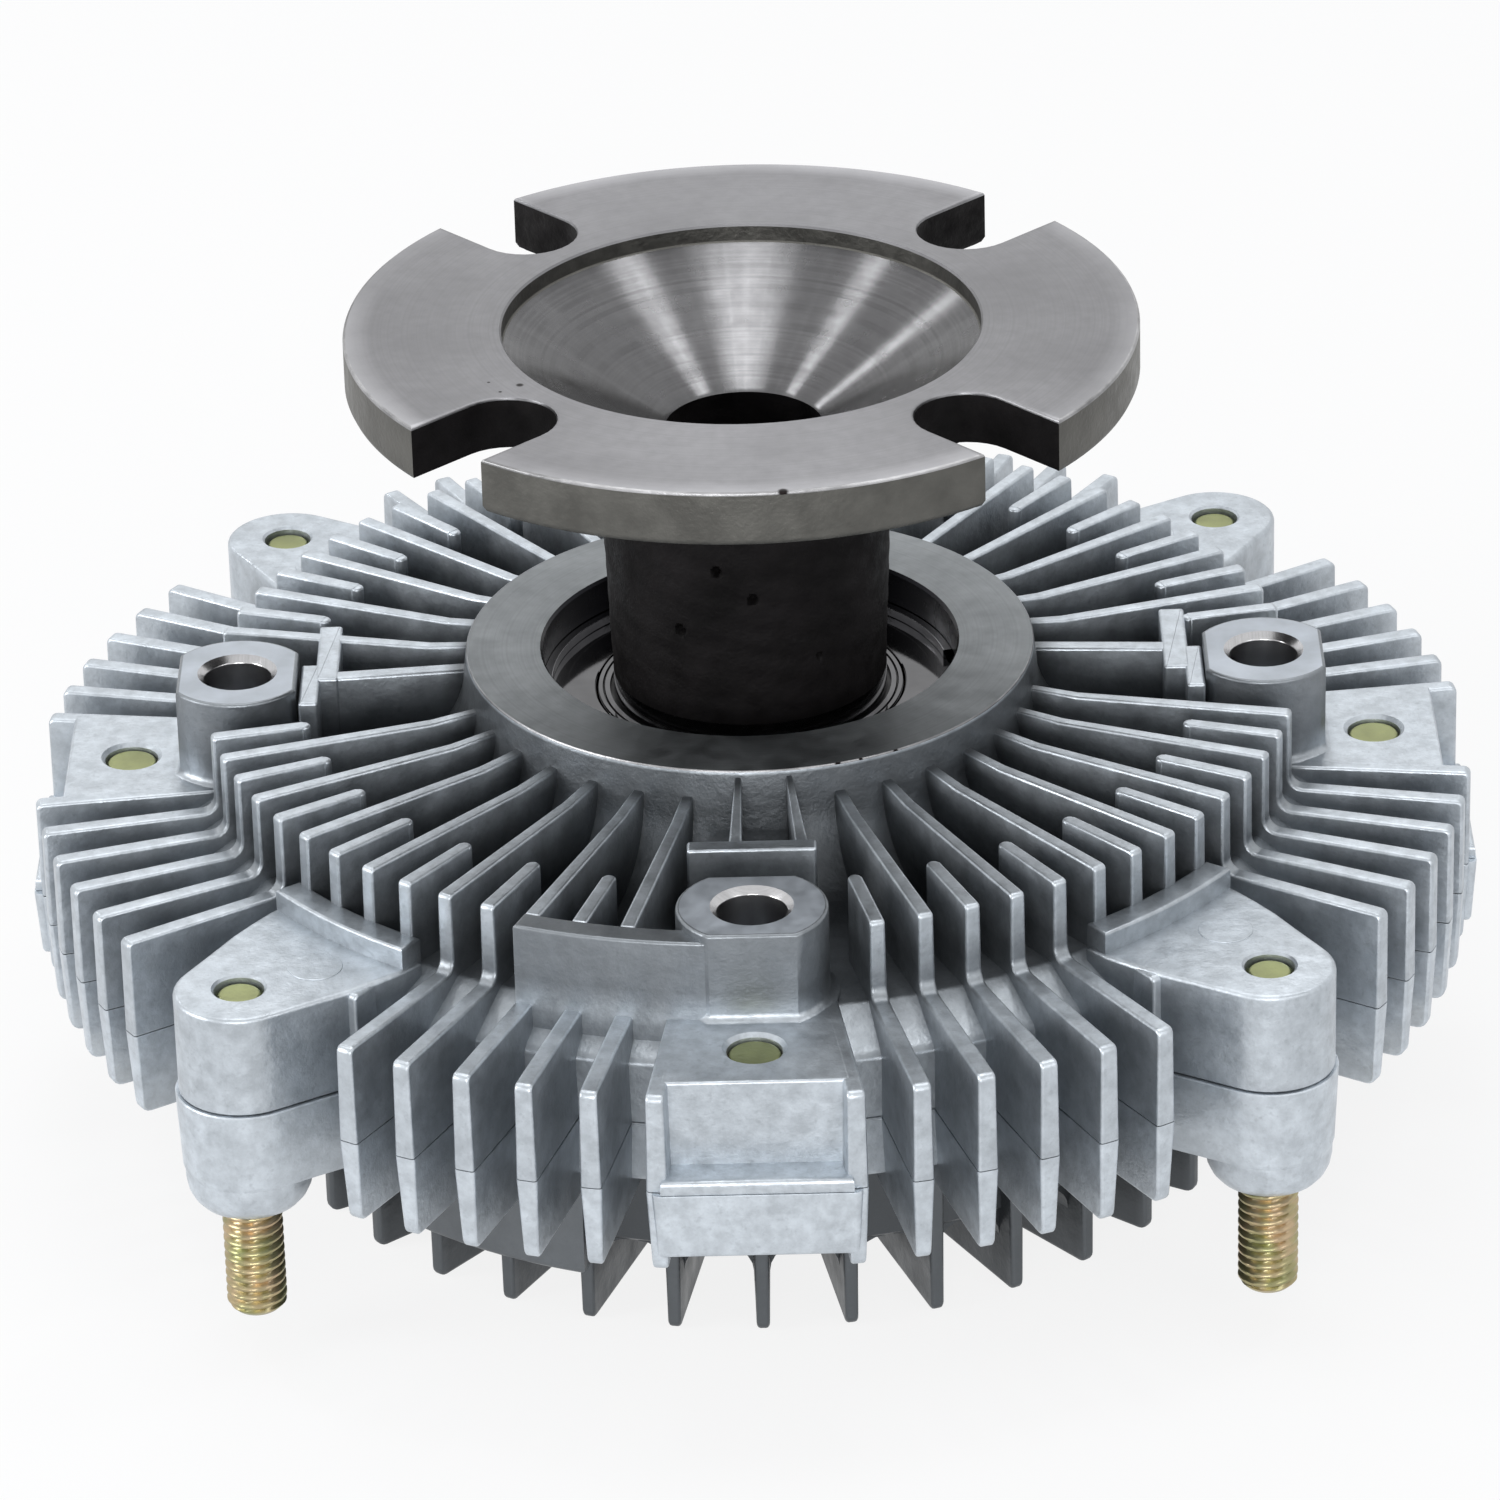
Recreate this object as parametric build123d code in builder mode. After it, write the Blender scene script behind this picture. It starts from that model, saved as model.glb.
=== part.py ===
"""Viscous fan clutch: finned rear body and front cover round a sheared-fluid disc.

Millimetres. +Z runs along the shaft, from the fan side up to the driving flange.
The origin is on the shaft axis, in the plane of the front blade tips.
Angles are counted from +X; the side with the arc wall faces -Y.
"""
import os
from math import cos, radians, sin

from build123d import *

os.makedirs("parts", exist_ok=True)

# Heights
blade_drop = 29.2
collar_rise = 22.25
boss_rise = 19.9
fin_rise = 18.9
lug_rise = 10.5
stud_lug_rise = 10.75
floor_rise = 9.9
rim_rise = 7.0
rib_rise = 13.0
flange_rise = 58.0
seam_z = blade_drop
collar_z = seam_z + collar_rise
boss_z = seam_z + boss_rise
fin_z = seam_z + fin_rise
lug_z = seam_z + lug_rise
stud_lug_z = seam_z + stud_lug_rise
floor_z = seam_z + floor_rise
rim_z = seam_z + rim_rise
rib_z = seam_z + rib_rise
flange_z = seam_z + flange_rise

# Driving flange and shaft
flange_r = 40.0
flange_t = 5.8
flange_edge = 0.5
recess_r = 24.1
recess_depth = 1.9
pilot_r = 8.0
pilot_depth = 11.2
pilot_bore_depth = 25.0
drill_depth = 4.6
neck_r = 27.0
neck_drop = 8.7
shaft_r = 14.0
shaft_top_r = 14.9
slot_count = 4
slot_w = 10.2
slot_centre_r = 31.9
slot_turn = 43.4

# Running and fitting clearances
fit_gap = 0.02
running_gap = 0.05

# Shaft bearing
bearing_r = 21.0
bearing_bore_r = 12.5
bearing_w = 12.0
bearing_rise = 5.5
inner_race_r = 15.6
outer_race_r = 18.2
ball_r = 2.4
ball_count = 10
cage_t = 1.3
cage_h = 6.4
shield_step = 0.65
shield_t = 0.8
shield_lip = 0.25
bearing_z = seam_z + bearing_rise
bearing_top_z = bearing_z + bearing_w
bearing_mid_z = bearing_z + bearing_w / 2
ball_path_r = (inner_race_r + outer_race_r) / 2

# Collar and retaining ring
collar_r = 29.07
collar_bore_r = 21.2
collar_draft = 0.3
cove_drop = 2.65
cove_w = 9.7
clip_t = 1.1
clip_groove = 1.0
clip_w = 2.0
clip_gap_deg = 24.0

# Castings
rim_r = 60.9
rim_edge = 0.6
slope_start_r = 55.3
cavity_r = 57.0
roof_rise = 6.6
roof_z = seam_z + roof_rise
shoulder_r = 19.0
shoulder_t = 1.2
bearing_wall = 2.5

# Cooling fins
fin_pitch = 5.0
fin_t = 1.8
fin_root_r = 28.5
short_fin_r = 45.5
upper_fin_r = 56.0
lower_fin_r = 73.8
step_fillet = 1.2
stub_fin_r = 65.0
fin_foot_rise = 1.0
skip_pitches = 1.7
cover_fin_drop = 9.1
cover_fin_lean = 0.5
cover_fin_nose = 1.0

# Tapped bosses on the rear body
boss_path_r = 52.6
boss_r = 7.45
boss_flat = 6.1
boss_hole_r = 3.45
boss_hole_depth = 10.5
boss_sink = 0.6

# Cross bars behind the bosses
bar_half = 6.4
bar_t = 2.0
front_bar_r = 37.3
side_bar_r = 42.0
side_bar_t = 2.5
side_bar_shift = 5.3
link_t = 1.8
link_half = 4.3
link_shift = -1.0
front_stem_turns = (-2.5, 7.5)
right_stem_ys = (4.4, 3.3)
left_stem_ys = (2.6, -0.5)

# Arc wall beside the front boss
wall_start = -113.3
wall_end = -95.0
wall_r = 58.6

# Lugs
flat_lug_r = 64.0
flat_lug_half_pitches = 1.5
flat_lug_face_r = 70.5
flat_ledge_r = 73.5
flat_ledge_t = 1.2
cover_lug_face_r = 74.0
cover_lug_drop = 7.2
cover_lug_extra = 0.6
stud_path_r = 71.1
stud_lug_r = 6.5
stud_lug_waist_r = 64.5
stud_lug_waist = 8.5
stud_lug_foot = 9.4
lug_rib_r = 58.5
lug_rib_deg = 18.0
cover_stud_lug_swell = 0.35
cover_stud_lug_drop = 9.5
cover_stud_lug_taper = 2.5
nozzle_r = 6.0
nozzle_tip_r = 3.5
nozzle_drop = 3.5

# Studs and screws
thread_r = 3.0
shank_r = 2.65
thread_gap = 0.05
thread_tip_r = 2.55
thread_mouth_r = 2.7
mouth_depth = 1.2
mouth_sink = 0.4
tip_below_mouth = 0.6
stud_drop = 25.2
stud_end_chamfer = 0.7
head_r = 4.9
head_h = 3.2
head_gap = 0.25
head_cover = 0.2
socket_r = 2.3
socket_depth = 1.9

# Front cover
underside_drop = 6.6
dome_r = 49.5
dome_drop = 20.5
dome_edge = 1.0
pocket_drop = 3.6
reservoir_r = 44.0
reservoir_drop = 16.8
blade_count = 36
blade_t = 1.8
blade_in_r = 24.0
blade_out_r = 51.3
blade_edge = 1.0
pad_start = -130.8
pad_end = -109.5
pad_t = 1.5
pad_drop = 23.2

# Seam seal
seal_path_r = 58.95
seal_r = 0.78
seal_groove_w = 2.0
seal_groove_depth = 1.6

# Clutch disc
disc_side_gap = 1.2
disc_face_gap = 1.0
disc_t = 2.8
disc_hub_r = 15.0
disc_bore_r = 9.0
disc_recess_r = 12.6
disc_recess = 2.0
disc_clip_t = 1.0
disc_clip_r = 11.2
disc_clip_groove = 1.0
disc_clip_gap_deg = 40.0
shaft_tip_drop = 1.2
port_count = 6
port_r = 2.6
port_path_r = 23.0
land_t = 1.3
land_pitch = 4.0
land_count = 6
first_land_r = 30.0
land_clear = 0.7

# Divider plate and wiper
plate_t = 1.2
plate_gap = 0.4
plate_feed_r = 2.4
plate_feed_path_r = 26.0
plate_return_r = 1.3
plate_return_path_r = 43.0
plate_return_turn = -8.0
rivet_count = 6
rivet_path_r = 51.5
rivet_r = 1.3
rivet_head_r = 2.4
rivet_head_h = 0.6
rivet_grip = 2.0
wiper_path_r = 49.0
wiper_l = 9.0
wiper_w = 4.0
wiper_h = 0.7
wiper_pin_r = 1.2
wiper_turn = 0.0

# Temperature valve
valve_shaft_r = 3.0
valve_tip_r = 2.0
valve_gap = 0.03
valve_boss_r = 7.0
valve_boss_rise = 8.8
valve_end_drop = 27.4
arm_t = 1.0
arm_gap = 0.3
arm_hub_r = 5.0
arm_w = 6.4
arm_reach = 29.5
arm_turn = 35.0
valve_clip_t = 0.6
valve_clip_r = 5.2
valve_clip_groove = 0.7
ring_r = 0.58
ring_drop = 14.0
ring_groove_w = 1.6
ring_groove = 1.2
valve_collar_r = 3.8
valve_collar_t = 0.8
valve_clip_gap_deg = 60.0

# Bimetal coil and its anchor
coil_turns = 5
coil_pitch = 2.9
coil_t = 0.9
coil_w = 5.0
coil_start_r = 4.0
coil_rise_gap = 1.5
anchor_l = 5.0
anchor_w = 4.6
anchor_y = 3.2
coil_tail = 5.2
coil_above_end = 0.4
peg_r = 1.6
peg_grip = 2.4

# Places worked out from the sizes above
boss_turns = (0, 90, 180, 270)
front_back_turns = boss_turns[1::2]
lug_turns = (45, 135, 225, 315)
fin_turns = [fin_pitch * (k + 0.5) for k in range(round(360 / fin_pitch))]
underside_z = seam_z - underside_drop
dome_z = seam_z - dome_drop
pocket_z = seam_z - pocket_drop
reservoir_z = seam_z - reservoir_drop
plate_top_z = pocket_z + plate_t
disc_bottom_z = plate_top_z + disc_face_gap
disc_top_z = disc_bottom_z + disc_t
land_h = roof_z - disc_top_z - land_clear
arm_top_z = pocket_z - arm_gap
arm_bottom_z = arm_top_z - arm_t
valve_boss_z = reservoir_z + valve_boss_rise
valve_end_z = seam_z - valve_end_drop
coil_top_z = dome_z - coil_rise_gap
coil_out_r = coil_start_r + coil_turns * coil_pitch
shaft_tip_z = seam_z - shaft_tip_drop
head_seat_z = seam_z - cover_lug_drop + head_h + head_cover
stud_seat_z = seam_z - cover_stud_lug_drop - nozzle_drop
stud_hole_r = shank_r + thread_gap
valve_clip_z = valve_boss_z + running_gap


def turned(angle):
    """Placement turned about the shaft axis."""
    return Location((0, 0, 0), (0, 0, angle))


def apart(angle, centre):
    """Smallest angle between two directions."""
    return abs((angle - centre + 180) % 360 - 180)


def near_any(angle, centres, reach):
    """True where a direction lies within reach of one of the centres."""
    return min(apart(angle, centre) for centre in centres) < reach


def polar(radius, angle):
    """Point in the plan view."""
    return (radius * cos(radians(angle)), radius * sin(radians(angle)))


def radial_plate(outline, thickness):
    """Plate standing on a radius, from its outline of radius and height."""
    with BuildPart() as plate:
        with BuildSketch(Plane.XZ):
            with BuildLine():
                Polyline(*outline, close=True)
            make_face()
        extrude(amount=thickness / 2, both=True)
    return plate.part


def arc_band(inner_r, outer_r, start, end, low_z, high_z):
    """Wall that follows an arc about the shaft axis."""
    middle = (start + end) / 2
    with BuildPart() as band:
        with BuildSketch(Plane.XY.offset(low_z)):
            with BuildLine():
                ThreePointArc(polar(outer_r, start), polar(outer_r, middle), polar(outer_r, end))
                Line(polar(outer_r, end), polar(inner_r, end))
                ThreePointArc(polar(inner_r, end), polar(inner_r, middle), polar(inner_r, start))
                Line(polar(inner_r, start), polar(outer_r, start))
            make_face()
        extrude(amount=high_z - low_z)
    return band.part


def save(part, name):
    """Label one finished piece and write it out."""
    part.label = name
    export_step(part, f"parts/{name}.step")


# Drive hub: flange, neck and shaft in one piece
flange_back_z = flange_z - flange_t
pilot_top_z = flange_z - pilot_depth
pilot_floor_z = flange_z - pilot_bore_depth
disc_clip_z = disc_bottom_z + disc_recess - disc_clip_t
with BuildPart() as drive_hub:
    with BuildSketch(Plane.XZ):
        with BuildLine():
            Polyline(
                (0, shaft_tip_z),
                (disc_bore_r, shaft_tip_z),
                (disc_bore_r, disc_clip_z),
                (disc_bore_r - disc_clip_groove, disc_clip_z),
                (disc_bore_r - disc_clip_groove, disc_clip_z + disc_clip_t),
                (disc_bore_r, disc_clip_z + disc_clip_t),
                (disc_bore_r, bearing_z),
                (bearing_bore_r, bearing_z),
                (bearing_bore_r, bearing_top_z),
                (shaft_r, bearing_top_z),
                (shaft_top_r, flange_back_z - neck_drop),
                (neck_r, flange_back_z),
                (flange_r - flange_edge, flange_back_z),
                (flange_r, flange_back_z + flange_edge),
                (flange_r, flange_z - flange_edge),
                (flange_r - flange_edge, flange_z),
                (recess_r, flange_z),
                (recess_r, flange_z - recess_depth),
                (pilot_r, pilot_top_z),
                (pilot_r, pilot_floor_z),
                (0, pilot_floor_z - drill_depth),
                close=True,
            )
        make_face()
    revolve(axis=Axis.Z)
    with BuildSketch(Plane.XY.offset(flange_z)):
        with PolarLocations(slot_centre_r, slot_count, start_angle=slot_turn):
            Circle(slot_w / 2)
            Rectangle(flange_r, slot_w, align=(Align.MIN, Align.CENTER))
    extrude(amount=-flange_t, mode=Mode.SUBTRACT)
save(drive_hub.part, "drive_hub")

# Bearing rings with their ball grooves
groove_r = ball_r + running_gap
with BuildPart() as bearing_inner_ring:
    with BuildSketch(Plane.XZ):
        with Locations((bearing_bore_r + fit_gap, bearing_z)):
            Rectangle(
                inner_race_r - bearing_bore_r - fit_gap,
                bearing_w,
                align=(Align.MIN, Align.MIN),
            )
        with Locations((ball_path_r, bearing_mid_z)):
            Circle(groove_r, mode=Mode.SUBTRACT)
    revolve(axis=Axis.Z)
save(bearing_inner_ring.part, "bearing_inner_ring")

with BuildPart() as bearing_outer_ring:
    with BuildSketch(Plane.XZ):
        with Locations((outer_race_r, bearing_z)):
            Rectangle(
                bearing_r - fit_gap - outer_race_r,
                bearing_w,
                align=(Align.MIN, Align.MIN),
            )
        with Locations((ball_path_r, bearing_mid_z)):
            Circle(groove_r, mode=Mode.SUBTRACT)
        with Locations((outer_race_r, bearing_z), (outer_race_r, bearing_top_z)):
            Rectangle(2 * shield_step, 2 * shield_t, mode=Mode.SUBTRACT)
    revolve(axis=Axis.Z)
save(bearing_outer_ring.part, "bearing_outer_ring")

# Balls and the ring that spaces them
with BuildPart() as bearing_balls:
    with Locations((0, 0, bearing_mid_z)):
        with PolarLocations(ball_path_r, ball_count):
            Sphere(ball_r)
save(bearing_balls.part, "bearing_balls")

with BuildPart() as bearing_cage:
    with BuildSketch(Plane.XY.offset(bearing_mid_z - cage_h / 2)):
        Circle(ball_path_r + cage_t / 2)
        Circle(ball_path_r - cage_t / 2, mode=Mode.SUBTRACT)
    extrude(amount=cage_h)
    with Locations((0, 0, bearing_mid_z)):
        with PolarLocations(ball_path_r, ball_count):
            Cylinder(
                ball_r + running_gap,
                2 * ball_r,
                rotation=(0, 90, 0),
                mode=Mode.SUBTRACT,
            )
save(bearing_cage.part, "bearing_cage")

# Shields pressed into the steps of the outer ring
shield_in_r = inner_race_r + shield_lip
shield_out_r = outer_race_r + shield_step - fit_gap
for shield_name, shield_z in (
    ("bearing_front_shield", bearing_z),
    ("bearing_rear_shield", bearing_top_z - shield_t),
):
    with BuildPart() as bearing_shield:
        with BuildSketch(Plane.XY.offset(shield_z)):
            Circle(shield_out_r)
            Circle(shield_in_r, mode=Mode.SUBTRACT)
        extrude(amount=shield_t)
    save(bearing_shield.part, shield_name)

# Fins of the rear body
upper_fin_foot_z = roof_z + fin_foot_rise
long_fin = radial_plate(
    [
        (fin_root_r, upper_fin_foot_z),
        (fin_root_r, fin_z),
        (upper_fin_r, fin_z),
        (upper_fin_r, upper_fin_foot_z),
    ],
    fin_t,
)
with BuildPart() as short_fin_build:
    with BuildSketch(Plane.XY.offset(upper_fin_foot_z)):
        with Locations((short_fin_r + fin_t / 2, 0)):
            Circle(fin_t / 2)
            Rectangle(
                upper_fin_r - short_fin_r - fin_t / 2,
                fin_t,
                align=(Align.MIN, Align.CENTER),
            )
    extrude(amount=fin_z - upper_fin_foot_z)
short_fin = short_fin_build.part

with BuildPart() as lower_fin_build:
    with BuildSketch(Plane.XZ):
        with BuildLine():
            Polyline(
                (upper_fin_r, lug_z + step_fillet),
                (slope_start_r, lug_z + step_fillet),
                (slope_start_r, seam_z),
                (lower_fin_r, seam_z),
                (lower_fin_r, lug_z),
                (upper_fin_r + step_fillet, lug_z),
            )
            RadiusArc(
                (upper_fin_r + step_fillet, lug_z),
                (upper_fin_r, lug_z + step_fillet),
                step_fillet,
            )
        make_face()
    extrude(amount=fin_t / 2, both=True)
lower_fin = lower_fin_build.part
stub_fin = radial_plate(
    [
        (slope_start_r, seam_z),
        (slope_start_r, lug_z),
        (stub_fin_r, lug_z),
        (stub_fin_r, seam_z),
    ],
    fin_t,
)

# Lugs of the rear body, drawn along +X
flat_half_deg = flat_lug_half_pitches * fin_pitch
with BuildPart() as flat_lug_build:
    with BuildSketch(Plane.XY.offset(seam_z)):
        with BuildLine():
            Polyline(
                (slope_start_r, slope_start_r * sin(radians(flat_half_deg))),
                (flat_lug_face_r, flat_lug_face_r * sin(radians(flat_half_deg))),
                (flat_lug_face_r, -flat_lug_face_r * sin(radians(flat_half_deg))),
                (slope_start_r, -slope_start_r * sin(radians(flat_half_deg))),
                close=True,
            )
        make_face()
    extrude(amount=lug_rise)
    with BuildSketch(Plane.XY.offset(seam_z)):
        with Locations((slope_start_r, 0)):
            Rectangle(
                flat_ledge_r - slope_start_r,
                2 * flat_lug_face_r * sin(radians(flat_half_deg)),
                align=(Align.MIN, Align.CENTER),
            )
    extrude(amount=flat_ledge_t)
flat_lug = flat_lug_build.part


def stud_lug_face(swell):
    """Plan of a stud lug, drawn along +X and widened by the swell on each side."""
    with BuildSketch() as plan:
        with BuildLine():
            Polyline(
                (slope_start_r, -stud_lug_foot - swell),
                (lug_rib_r, -stud_lug_foot - swell),
                (stud_lug_waist_r, -stud_lug_waist - swell),
                (stud_path_r, -stud_lug_r - swell),
                (stud_path_r, stud_lug_r + swell),
                (stud_lug_waist_r, stud_lug_waist + swell),
                (lug_rib_r, stud_lug_foot + swell),
                (slope_start_r, stud_lug_foot + swell),
                close=True,
            )
        make_face()
        with Locations((stud_path_r, 0)):
            Circle(stud_lug_r + swell)
    return plan.sketch


lug_rib = arc_band(slope_start_r, lug_rib_r, -lug_rib_deg / 2, lug_rib_deg / 2, roof_z, rib_z)
with BuildPart() as stud_lug_build:
    with BuildSketch(Plane.XY.offset(seam_z)):
        add(stud_lug_face(0))
    extrude(amount=stud_lug_rise)
    add(lug_rib)
stud_lug = stud_lug_build.part

# Tapped boss, drawn along +X
with BuildPart() as boss_build:
    with BuildSketch(Plane.XY.offset(upper_fin_foot_z)):
        with Locations((boss_path_r, 0)):
            Circle(boss_r)
            Rectangle(2 * boss_flat, 2 * boss_r, mode=Mode.INTERSECT)
    extrude(amount=boss_z - upper_fin_foot_z)
boss = boss_build.part

# Cross bars: the front and back ones stand across the axis, the side ones are set off
with BuildPart() as front_bar_build:
    with BuildSketch(Plane.XY.offset(upper_fin_foot_z)):
        with Locations((front_bar_r, 0)):
            Rectangle(bar_t, 2 * bar_half, align=(Align.MIN, Align.CENTER))
        for stem_turn in front_stem_turns:
            with Locations(turned(stem_turn)):
                with Locations((fin_root_r, 0)):
                    Rectangle(
                        front_bar_r - fin_root_r + bar_t / 2,
                        fin_t,
                        align=(Align.MIN, Align.CENTER),
                    )
    extrude(amount=fin_z - upper_fin_foot_z)
front_bar = front_bar_build.part


def side_bar(side, stem_ys):
    """Cross bar, link and stem beside the boss on the +X or the -X side."""
    foot_x = side * fin_root_r
    end_x = side * (side_bar_r + side_bar_t / 2)
    foot_y, end_y = stem_ys
    with BuildPart() as bar:
        with BuildSketch(Plane.XY.offset(upper_fin_foot_z)):
            with Locations((end_x, side_bar_shift)):
                Rectangle(side_bar_t, 2 * bar_half)
            link_r = (side_bar_r + side_bar_t + boss_path_r - boss_flat) / 2
            with Locations((side * link_r, link_shift)):
                Rectangle(link_t + bar_t / 2, 2 * link_half)
            with BuildLine():
                Polyline(
                    (foot_x, foot_y - fin_t / 2),
                    (end_x, end_y - fin_t / 2),
                    (end_x, end_y + fin_t / 2),
                    (foot_x, foot_y + fin_t / 2),
                    close=True,
                )
            make_face()
        extrude(amount=fin_z - upper_fin_foot_z)
    return bar.part


# Rear body casting, with a cove round the foot of the collar
cove_top_r = collar_r + collar_draft
cove_top_z = collar_z - cove_drop
cove_foot_r = cove_top_r + cove_w
shoulder_z = bearing_z - shoulder_t
boss_wall_r = bearing_r + bearing_wall
long_turns = [a for a in fin_turns if round(a / fin_pitch - 0.5) % 2 == 1]
short_turns = [a for a in fin_turns if round(a / fin_pitch - 0.5) % 2 == 0]
fin_reach = skip_pitches * fin_pitch
free_turns = [
    a
    for a in fin_turns
    if not near_any(a, boss_turns, fin_pitch) and not near_any(a, lug_turns, fin_reach)
]
stub_turns = [
    a
    for a in fin_turns
    if fin_pitch < min(apart(a, lug) for lug in lug_turns) < fin_reach
    and near_any(a, front_back_turns, lug_turns[0])
]
arc_wall = arc_band(slope_start_r, wall_r, wall_start, wall_end, roof_z, fin_z)
side_bars = [side_bar(1, right_stem_ys), side_bar(-1, left_stem_ys)]
with BuildPart() as rear_body:
    with BuildSketch(Plane.XZ):
        with BuildLine():
            Polyline(
                (0, seam_z),
                (rim_r, seam_z),
                (rim_r, rim_z - rim_edge),
                (rim_r - rim_edge, rim_z),
                (slope_start_r, floor_z),
                (cove_foot_r, floor_z),
            )
            TangentArc((cove_top_r, cove_top_z), (cove_foot_r, floor_z), tangent=(0, -1))
            Polyline(
                (cove_top_r, cove_top_z),
                (collar_r, collar_z),
                (0, collar_z),
                (0, seam_z),
            )
        make_face()
    revolve(axis=Axis.Z)
    with Locations(*[turned(a) for a in long_turns if not near_any(a, boss_turns, fin_reach)]):
        add(long_fin)
    with Locations(*[turned(a) for a in short_turns if not near_any(a, boss_turns, fin_reach)]):
        add(short_fin)
    with Locations(*[turned(a) for a in free_turns]):
        add(lower_fin)
    with Locations(*[turned(a) for a in stub_turns]):
        add(stub_fin)
    with Locations(*[turned(a) for a in boss_turns]):
        add(boss)
        add(flat_lug)
    with Locations(*[turned(a) for a in lug_turns]):
        add(stud_lug)
    with Locations(*[turned(a) for a in front_back_turns]):
        add(front_bar)
    add(side_bars)
    add(arc_wall)
    with BuildSketch(Plane.XZ):
        with BuildLine():
            Polyline(
                (0, seam_z),
                (cavity_r, seam_z),
                (cavity_r, roof_z),
                (boss_wall_r, roof_z),
                (boss_wall_r, shoulder_z),
                (shoulder_r, shoulder_z),
                (shoulder_r, bearing_z),
                (bearing_r, bearing_z),
                (bearing_r, bearing_top_z),
                (collar_bore_r + clip_groove, bearing_top_z),
                (collar_bore_r + clip_groove, bearing_top_z + clip_t),
                (collar_bore_r, bearing_top_z + clip_t),
                (collar_bore_r, collar_z),
                (0, collar_z),
                close=True,
            )
        make_face()
    revolve(axis=Axis.Z, mode=Mode.SUBTRACT)
    with BuildSketch(Plane.XY.offset(roof_z)):
        for k in reversed(range(land_count)):
            Circle(first_land_r + k * land_pitch + land_t / 2)
            Circle(first_land_r + k * land_pitch - land_t / 2, mode=Mode.SUBTRACT)
    extrude(amount=-land_h)
    with BuildSketch(Plane.XY.offset(boss_z)):
        with PolarLocations(boss_path_r, len(boss_turns)):
            Circle(boss_hole_r)
    extrude(amount=-boss_hole_depth, mode=Mode.SUBTRACT)
    with Locations((0, 0, boss_z - boss_sink / 2)):
        with PolarLocations(boss_path_r, len(boss_turns)):
            Cone(boss_hole_r, boss_hole_r + boss_sink, boss_sink, mode=Mode.SUBTRACT)
    with BuildSketch(Plane.XY.offset(seam_z)):
        with PolarLocations(flat_lug_r, len(boss_turns)):
            Circle(thread_r + thread_gap)
    extrude(amount=lug_rise - mouth_depth, mode=Mode.SUBTRACT)
    with BuildSketch(Plane.XY.offset(seam_z)):
        with PolarLocations(flat_lug_r, len(boss_turns)):
            Circle(thread_mouth_r)
        with PolarLocations(stud_path_r, len(lug_turns), start_angle=lug_turns[0]):
            Circle(stud_hole_r)
    extrude(amount=stud_lug_rise, mode=Mode.SUBTRACT)
    with Locations((0, 0, lug_z - mouth_sink / 2)):
        with PolarLocations(flat_lug_r, len(boss_turns)):
            Cone(thread_mouth_r, thread_mouth_r + mouth_sink, mouth_sink, mode=Mode.SUBTRACT)
    with Locations((0, 0, stud_lug_z - mouth_sink / 2)):
        with PolarLocations(stud_path_r, len(lug_turns), start_angle=lug_turns[0]):
            Cone(stud_hole_r, stud_hole_r + mouth_sink, mouth_sink, mode=Mode.SUBTRACT)
save(rear_body.part, "rear_body")

# Fins, lugs and blades of the front cover
cover_fin = radial_plate(
    [
        (dome_r - blade_t, seam_z),
        (lower_fin_r, seam_z),
        (lower_fin_r - cover_fin_lean, seam_z - cover_fin_drop + cover_fin_nose),
        (lower_fin_r - cover_fin_lean - cover_fin_nose, seam_z - cover_fin_drop),
        (dome_r - blade_t, seam_z - cover_fin_drop),
    ],
    fin_t,
)
cover_stub_fin = radial_plate(
    [
        (dome_r - blade_t, seam_z),
        (stub_fin_r, seam_z),
        (stub_fin_r - cover_fin_lean, seam_z - cover_fin_drop),
        (dome_r - blade_t, seam_z - cover_fin_drop),
    ],
    fin_t,
)
blade = radial_plate(
    [
        (blade_in_r, dome_z + blade_t),
        (blade_in_r, blade_edge),
        (blade_in_r + blade_edge, 0),
        (blade_out_r - blade_edge, 0),
        (blade_out_r, blade_edge),
        (blade_out_r, underside_z + blade_t),
        (dome_r - blade_t, underside_z + blade_t),
        (dome_r - blade_t, dome_z + blade_t),
    ],
    blade_t,
)
cover_lug_half = cover_lug_face_r * sin(radians(flat_half_deg)) + cover_lug_extra
with BuildPart() as cover_flat_lug_build:
    with BuildSketch(Plane.XY.offset(seam_z)):
        with BuildLine():
            Polyline(
                (slope_start_r, cover_lug_half - fin_t),
                (cover_lug_face_r, cover_lug_half),
                (cover_lug_face_r, -cover_lug_half),
                (slope_start_r, fin_t - cover_lug_half),
                close=True,
            )
        make_face()
    extrude(amount=-cover_lug_drop)
cover_flat_lug = cover_flat_lug_build.part

with BuildPart() as cover_stud_lug_build:
    with BuildSketch(Plane.XY.offset(seam_z)):
        add(stud_lug_face(cover_stud_lug_swell))
    extrude(amount=-cover_stud_lug_drop, taper=cover_stud_lug_taper)
    with Locations((stud_path_r, 0, stud_seat_z + nozzle_drop / 2)):
        Cone(nozzle_tip_r, nozzle_r, nozzle_drop)
cover_stud_lug = cover_stud_lug_build.part

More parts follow.
